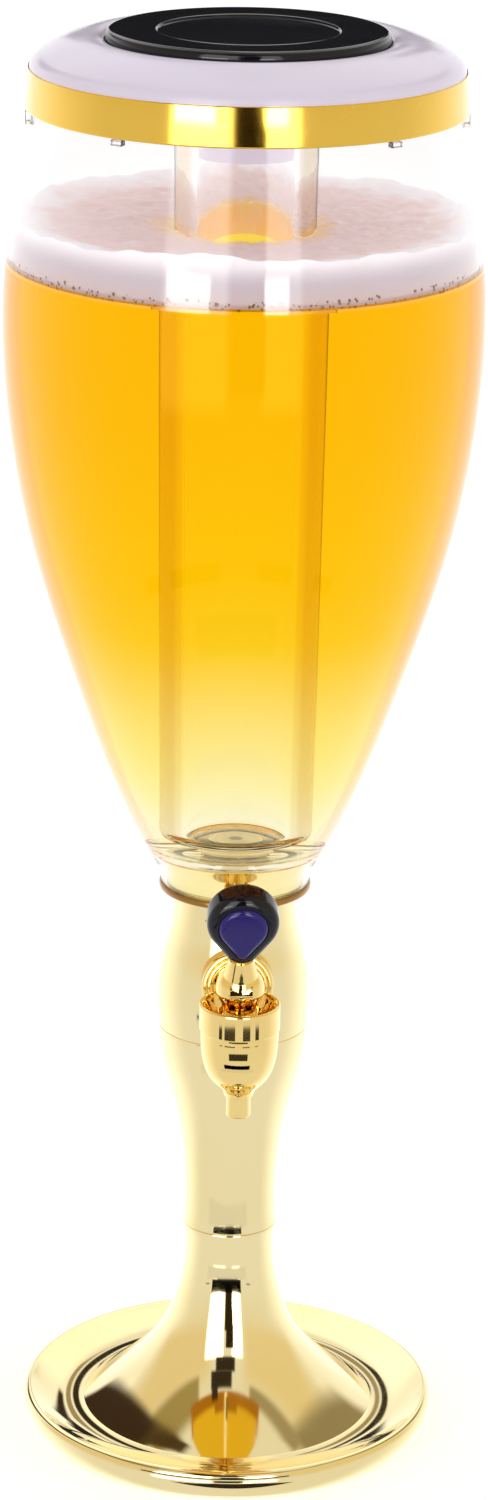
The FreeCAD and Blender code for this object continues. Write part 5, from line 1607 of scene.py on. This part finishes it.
@dataclass
class Studio:
    """The floor, the surroundings and the camera; sizes in metres, angles in degrees.

    The bars are arcs on the floor about the tap: two azimuths and two distances. The stands
    are upright arcs before the foot: two azimuths, two heights and a brightness.
    """

    distance: float = 1.7016
    height: float = 0.8409
    azimuth: float = 3.2
    pitch: float = 18.21
    yaw: float = 0.091
    roll: float = 0.957
    lens: float = 111.02
    dome: Colour = (0.95, 0.95, 0.95)
    overhead: float = 0.60
    dusk: Point = (15.0, 70.0)  # elevations between which the soft light fades
    floor_glow: float = 0.34
    cards: tuple[Card, ...] = (
        Card(-190.0, -105.0, -90.0, 14.0, (1.45, 1.45, 1.47), 32.0),
        Card(110.0, 190.0, -90.0, 14.0, (1.40, 1.40, 1.40), 32.0),
        Card(-172.0, -128.0, 24.0, 80.0, (1.5, 1.5, 1.5), 6.0),
        Card(128.0, 172.0, 24.0, 80.0, (1.4, 1.4, 1.4), 6.0),
        Card(-120.0, -30.0, 6.0, 54.0, (0.90, 0.77, 0.52), 12.0),
        Card(30.0, 120.0, 6.0, 56.0, (0.92, 0.80, 0.54), 12.0),
        Card(-39.0, -8.0, -19.0, 39.0, (4.2, 4.2, 4.2)),
        Card(9.0, 27.0, -19.0, 38.0, (4.2, 4.2, 4.2)),
        Card(-6.0, 10.0, -17.0, 14.0, (0.03, 0.02, 0.01), 1.0),
        Card(-3.0, 11.0, 10.0, 30.0, (0.03, 0.02, 0.01), 1.0),
        Card(-100.0, -48.0, 50.0, 66.0, (0.42, 0.34, 0.16), 3.0),
        Card(-133.5, -117.5, 12.0, 58.0, (0.05, 0.03, 0.02), 2.0, 1.2),
        Card(-94.0, -80.0, 54.0, 72.0, (0.08, 0.05, 0.02), 2.0, 1.7),
        Card(112.0, 132.0, 20.0, 60.0, (0.35, 0.30, 0.20), 4.0, -1.2),
        Card(40.0, 98.0, 56.0, 63.0, (0.42, 0.36, 0.24), 2.0),
        Card(172.0, 188.0, 4.0, 14.0, (0.02, 0.02, 0.02), 1.0),
        Card(180.6, 186.0, 18.0, 31.0, (0.04, 0.03, 0.02), 0.6),
        Card(174.5, 178.6, 18.0, 31.0, (0.40, 0.33, 0.20), 0.6),
        Card(168.5, 172.5, 9.0, 24.0, (0.05, 0.03, 0.02), 1.0),
        Card(-37.0, -16.0, -1.5, 5.0, (14.0, 14.0, 14.0), 1.0),
        Card(9.5, 21.0, -1.5, 5.0, (14.0, 14.0, 14.0), 1.0),
        # Painted reflection: the next four amber cards stand for the amber bowl and the tap as
        # the foot reflects them.
        Card(-60.0, 56.0, 61.5, 71.0, (0.46, 0.19, 0.01), 1.0),
        Card(-58.0, 54.0, 69.5, 86.0, (0.88, 0.55, 0.03), 1.0),
        Card(-58.0, -22.0, 67.0, 80.0, (0.88, 0.55, 0.03), 1.5),
        Card(20.0, 54.0, 67.0, 80.0, (0.88, 0.55, 0.03), 1.5),
        Card(-20.0, 14.0, 38.0, 50.0, (0.04, 0.03, 0.02), 1.5),
        Card(-28.0, 9.0, 49.0, 60.0, (0.04, 0.03, 0.02), 1.5),
        Card(-27.0, -16.0, 58.0, 65.0, (0.05, 0.03, 0.02), 1.5),
        # Painted reflection: a pale stripe and a dark line down the middle of the bowl's
        # reflection in the foot.
        Card(-4.0, 1.0, 62.0, 86.0, (1.2, 1.0, 0.6), 1.0),
        Card(-1.0, 2.0, 64.0, 72.0, (0.10, 0.05, 0.0), 1.0),
    )
    bars: tuple[tuple[float, float, float, float], ...] = (
        (-60.0, -50.0, 0.445, 0.488), (-43.0, -12.0, 0.440, 0.488), (10.0, 31.0, 0.440, 0.488),
        (46.0, 57.0, 0.445, 0.488), (-31.0, 26.0, 0.290, 0.365))
    bar_middle: float = -0.055
    # A black card before the foot's lip is painted shade: reflections show it in place of the
    # floor's contact shadow.
    floor_card: Line = ((-0.010, -0.099), (0.010, -0.099), (0.028, -0.0865), (-0.032, -0.0865))
    floor_lift: float = 0.0006
    stands: tuple[tuple[float, float, float, float, float], ...] = (
        (-42.0, 31.0, 0.0295, 0.054, 0.0), (-56.0, 46.0, 0.002, 0.0290, 0.86))
    stand_middle: float = -0.022
    stand_reach: float = 0.2

    def make_camera(self) -> None:
        """Set the camera where it sees the whole tower from a little above."""
        data = bpy.data.cameras.new("studio_camera")
        data.sensor_fit, data.sensor_width = "AUTO", 36.0
        data.lens, data.clip_end = self.lens, 60.0
        camera = new_object("studio_camera", data)
        turn = math.radians(self.azimuth)
        camera.location = (-self.distance * math.sin(turn), -self.distance * math.cos(turn),
                           self.height)
        aim = Euler((math.radians(90.0 - self.pitch), 0.0,
                     -turn - math.radians(self.yaw))).to_matrix()
        tilt = Matrix.Rotation(math.radians(self.roll), 3, "Z")
        camera.rotation_euler = (aim @ tilt).to_euler()
        bpy.context.scene.camera = camera

    def make_floor(self) -> None:
        """Lay a wide pale floor that takes the tower's shadow."""
        work = bmesh.new()
        bmesh.ops.create_circle(work, cap_ends=True, radius=14.0, segments=96)
        floor = finish_mesh(work, "studio_floor")
        material, tree, shader = start_material("pale_floor")
        grain = tree.group(grain_group(), Scale=40.0, Colour=(0.93, 0.93, 0.93), Drift=0.01,
                           Roughness=0.8)
        rays = tree.add("ShaderNodeLightPath").outputs
        seen = tree.math("MAXIMUM", rays["Is Camera Ray"], tree.math(
            "MAXIMUM", rays["Is Glossy Ray"], rays["Is Transmission Ray"]))
        tree.fill(shader, Base_Color=grain["Colour"], Roughness=grain["Roughness"],
                  Specular_IOR_Level=0.0, Emission_Color=(self.floor_glow,) * 3,
                  Emission_Strength=seen)
        floor.data.materials.append(material)
        floor.visible_glossy = False

    def arc(self, left: float, right: float, steps: int, reach: float, middle: float
            ) -> list[Point]:
        """Give spots on the ground along an arc.

        Args:
            left: The azimuth where it starts.
            right: The azimuth where it ends.
            steps: How many steps it has.
            reach: Its radius.
            middle: How far behind the tower's axis its middle is.

        Returns:
            The spots, from left to right.
        """
        turns = [math.radians(left + (right - left) * step / steps - self.azimuth)
                 for step in range(steps + 1)]
        return [(reach * math.sin(turn), middle - reach * math.cos(turn)) for turn in turns]

    def make_floor_cards(self) -> None:
        """Lay small black cards on the floor: one before the foot's lip as painted shade for the
        contact shadow, arcs round the tap.
        """
        shapes = [self.floor_card]
        for left, right, *reaches in self.bars:
            near, far = (self.arc(left, right, 6, reach, self.bar_middle)
                         for reach in reaches)
            shapes.append([*near, *far[::-1]])
        reflect_only("studio_floor_cards",
                     [[(x, y, self.floor_lift) for x, y in shape] for shape in shapes],
                     material_of(Finish.CARD))

    def make_stands(self) -> None:
        """Stand low upright cards before the foot."""
        for number, (left, right, low, high, light) in enumerate(self.stands, 1):
            material, tree, shader = start_material(f"stand_{number}")
            tree.fill(shader, Base_Color=(0.0, 0.0, 0.0), Specular_IOR_Level=0.0,
                      Emission_Color=(light, light, light), Emission_Strength=1.0)
            spots = self.arc(left, right, 8, self.stand_reach, self.stand_middle)
            reflect_only(f"studio_stand_{number}",
                         [[(*first, low), (*last, low), (*last, high), (*first, high)]
                          for first, last in zip(spots, spots[1:])], material)

    def lay_cards(self, tree: Tree, azimuth: NodeSocket, elevation: NodeSocket) -> object:
        """Lay the nodes of the bright and dark cards.

        Args:
            tree: The world's tree.
            azimuth: The direction's azimuth, from 0 to 360 degrees.
            elevation: The direction's elevation in degrees.

        Returns:
            The light that reflections show: the surroundings, with a painted reflection of the
                bowl and tap.
        """
        light: object = self.dome
        for card in self.cards:
            wide, tall = (card.right - card.left) / 2, (card.high - card.low) / 2
            middle = ((card.left + card.right) / 2) % 360.0
            rise = tree.math("SUBTRACT", elevation, (card.low + card.high) / 2)
            across = tree.math("ABSOLUTE", tree.math("SUBTRACT", azimuth, tree.math(
                "MULTIPLY_ADD", rise, card.lean, middle)))
            across = tree.math("MINIMUM", across, tree.math("SUBTRACT", 360.0, across))
            inside = tree.math(
                "MULTIPLY", tree.ramp(across, wide - card.edge, wide + card.edge, 1, 0),
                tree.ramp(tree.math("ABSOLUTE", rise), tall - card.edge, tall + card.edge, 1, 0))
            light = tree.mix(inside, light, card.light)
        return light

    def make_world(self) -> None:
        """Build the white surroundings with their bright and dark cards."""
        world = bpy.data.worlds.new("studio_world")
        bpy.context.scene.world = world
        world.use_nodes = True
        world.node_tree.nodes.clear()
        tree = Tree(world.node_tree)
        parts = tree.add("ShaderNodeSeparateXYZ", Vector=tree.add(
            "ShaderNodeTexCoord").outputs["Generated"]).outputs
        azimuth, elevation = (tree.math("MULTIPLY", turn, 180.0 / math.pi) for turn in (
            tree.math("ARCTAN2", parts["X"], tree.math("MULTIPLY", parts["Y"], -1.0)),
            tree.math("ARCSINE", parts["Z"])))
        azimuth = tree.math("ADD", azimuth, 360.0 + self.azimuth)
        azimuth = tree.math("MODULO", azimuth, 360.0)
        rays = tree.add("ShaderNodeLightPath").outputs
        soft = tree.ramp(elevation, *self.dusk, self.dome[0], self.overhead)
        shown = tree.mix(rays["Is Glossy Ray"], soft,
                         self.lay_cards(tree, azimuth, elevation))
        seen = tree.math("MAXIMUM", rays["Is Camera Ray"], rays["Is Transmission Ray"])
        light = tree.add("ShaderNodeBackground", Strength=1.0,
                         Color=tree.mix(seen, shown, NO_TINT))
        tree.add("ShaderNodeOutputWorld", Surface=light.outputs["Background"])

    def build(self) -> None:
        """Set the stage."""
        self.make_camera()
        self.make_floor()
        self.make_floor_cards()
        self.make_stands()
        self.make_world()
        scene = bpy.context.scene
        scene.view_settings.view_transform = "Standard"
        scene.cycles.max_bounces = 32
        scene.cycles.transmission_bounces = 28
        scene.cycles.glossy_bounces = 8
        scene.cycles.blur_glossy = 0.0


def main() -> None:
    """Dress the tower piece by piece and set the stage."""
    logging.basicConfig(level=logging.INFO, format="%(message)s")
    tank = Tank()
    for part in (Studio(), Foot(), Stem(), tank, Drink(tank), Lid(), Tap()):
        part.build()
        LOG.info("%s done", type(part).__name__)


if __name__ == "__main__":
    main()
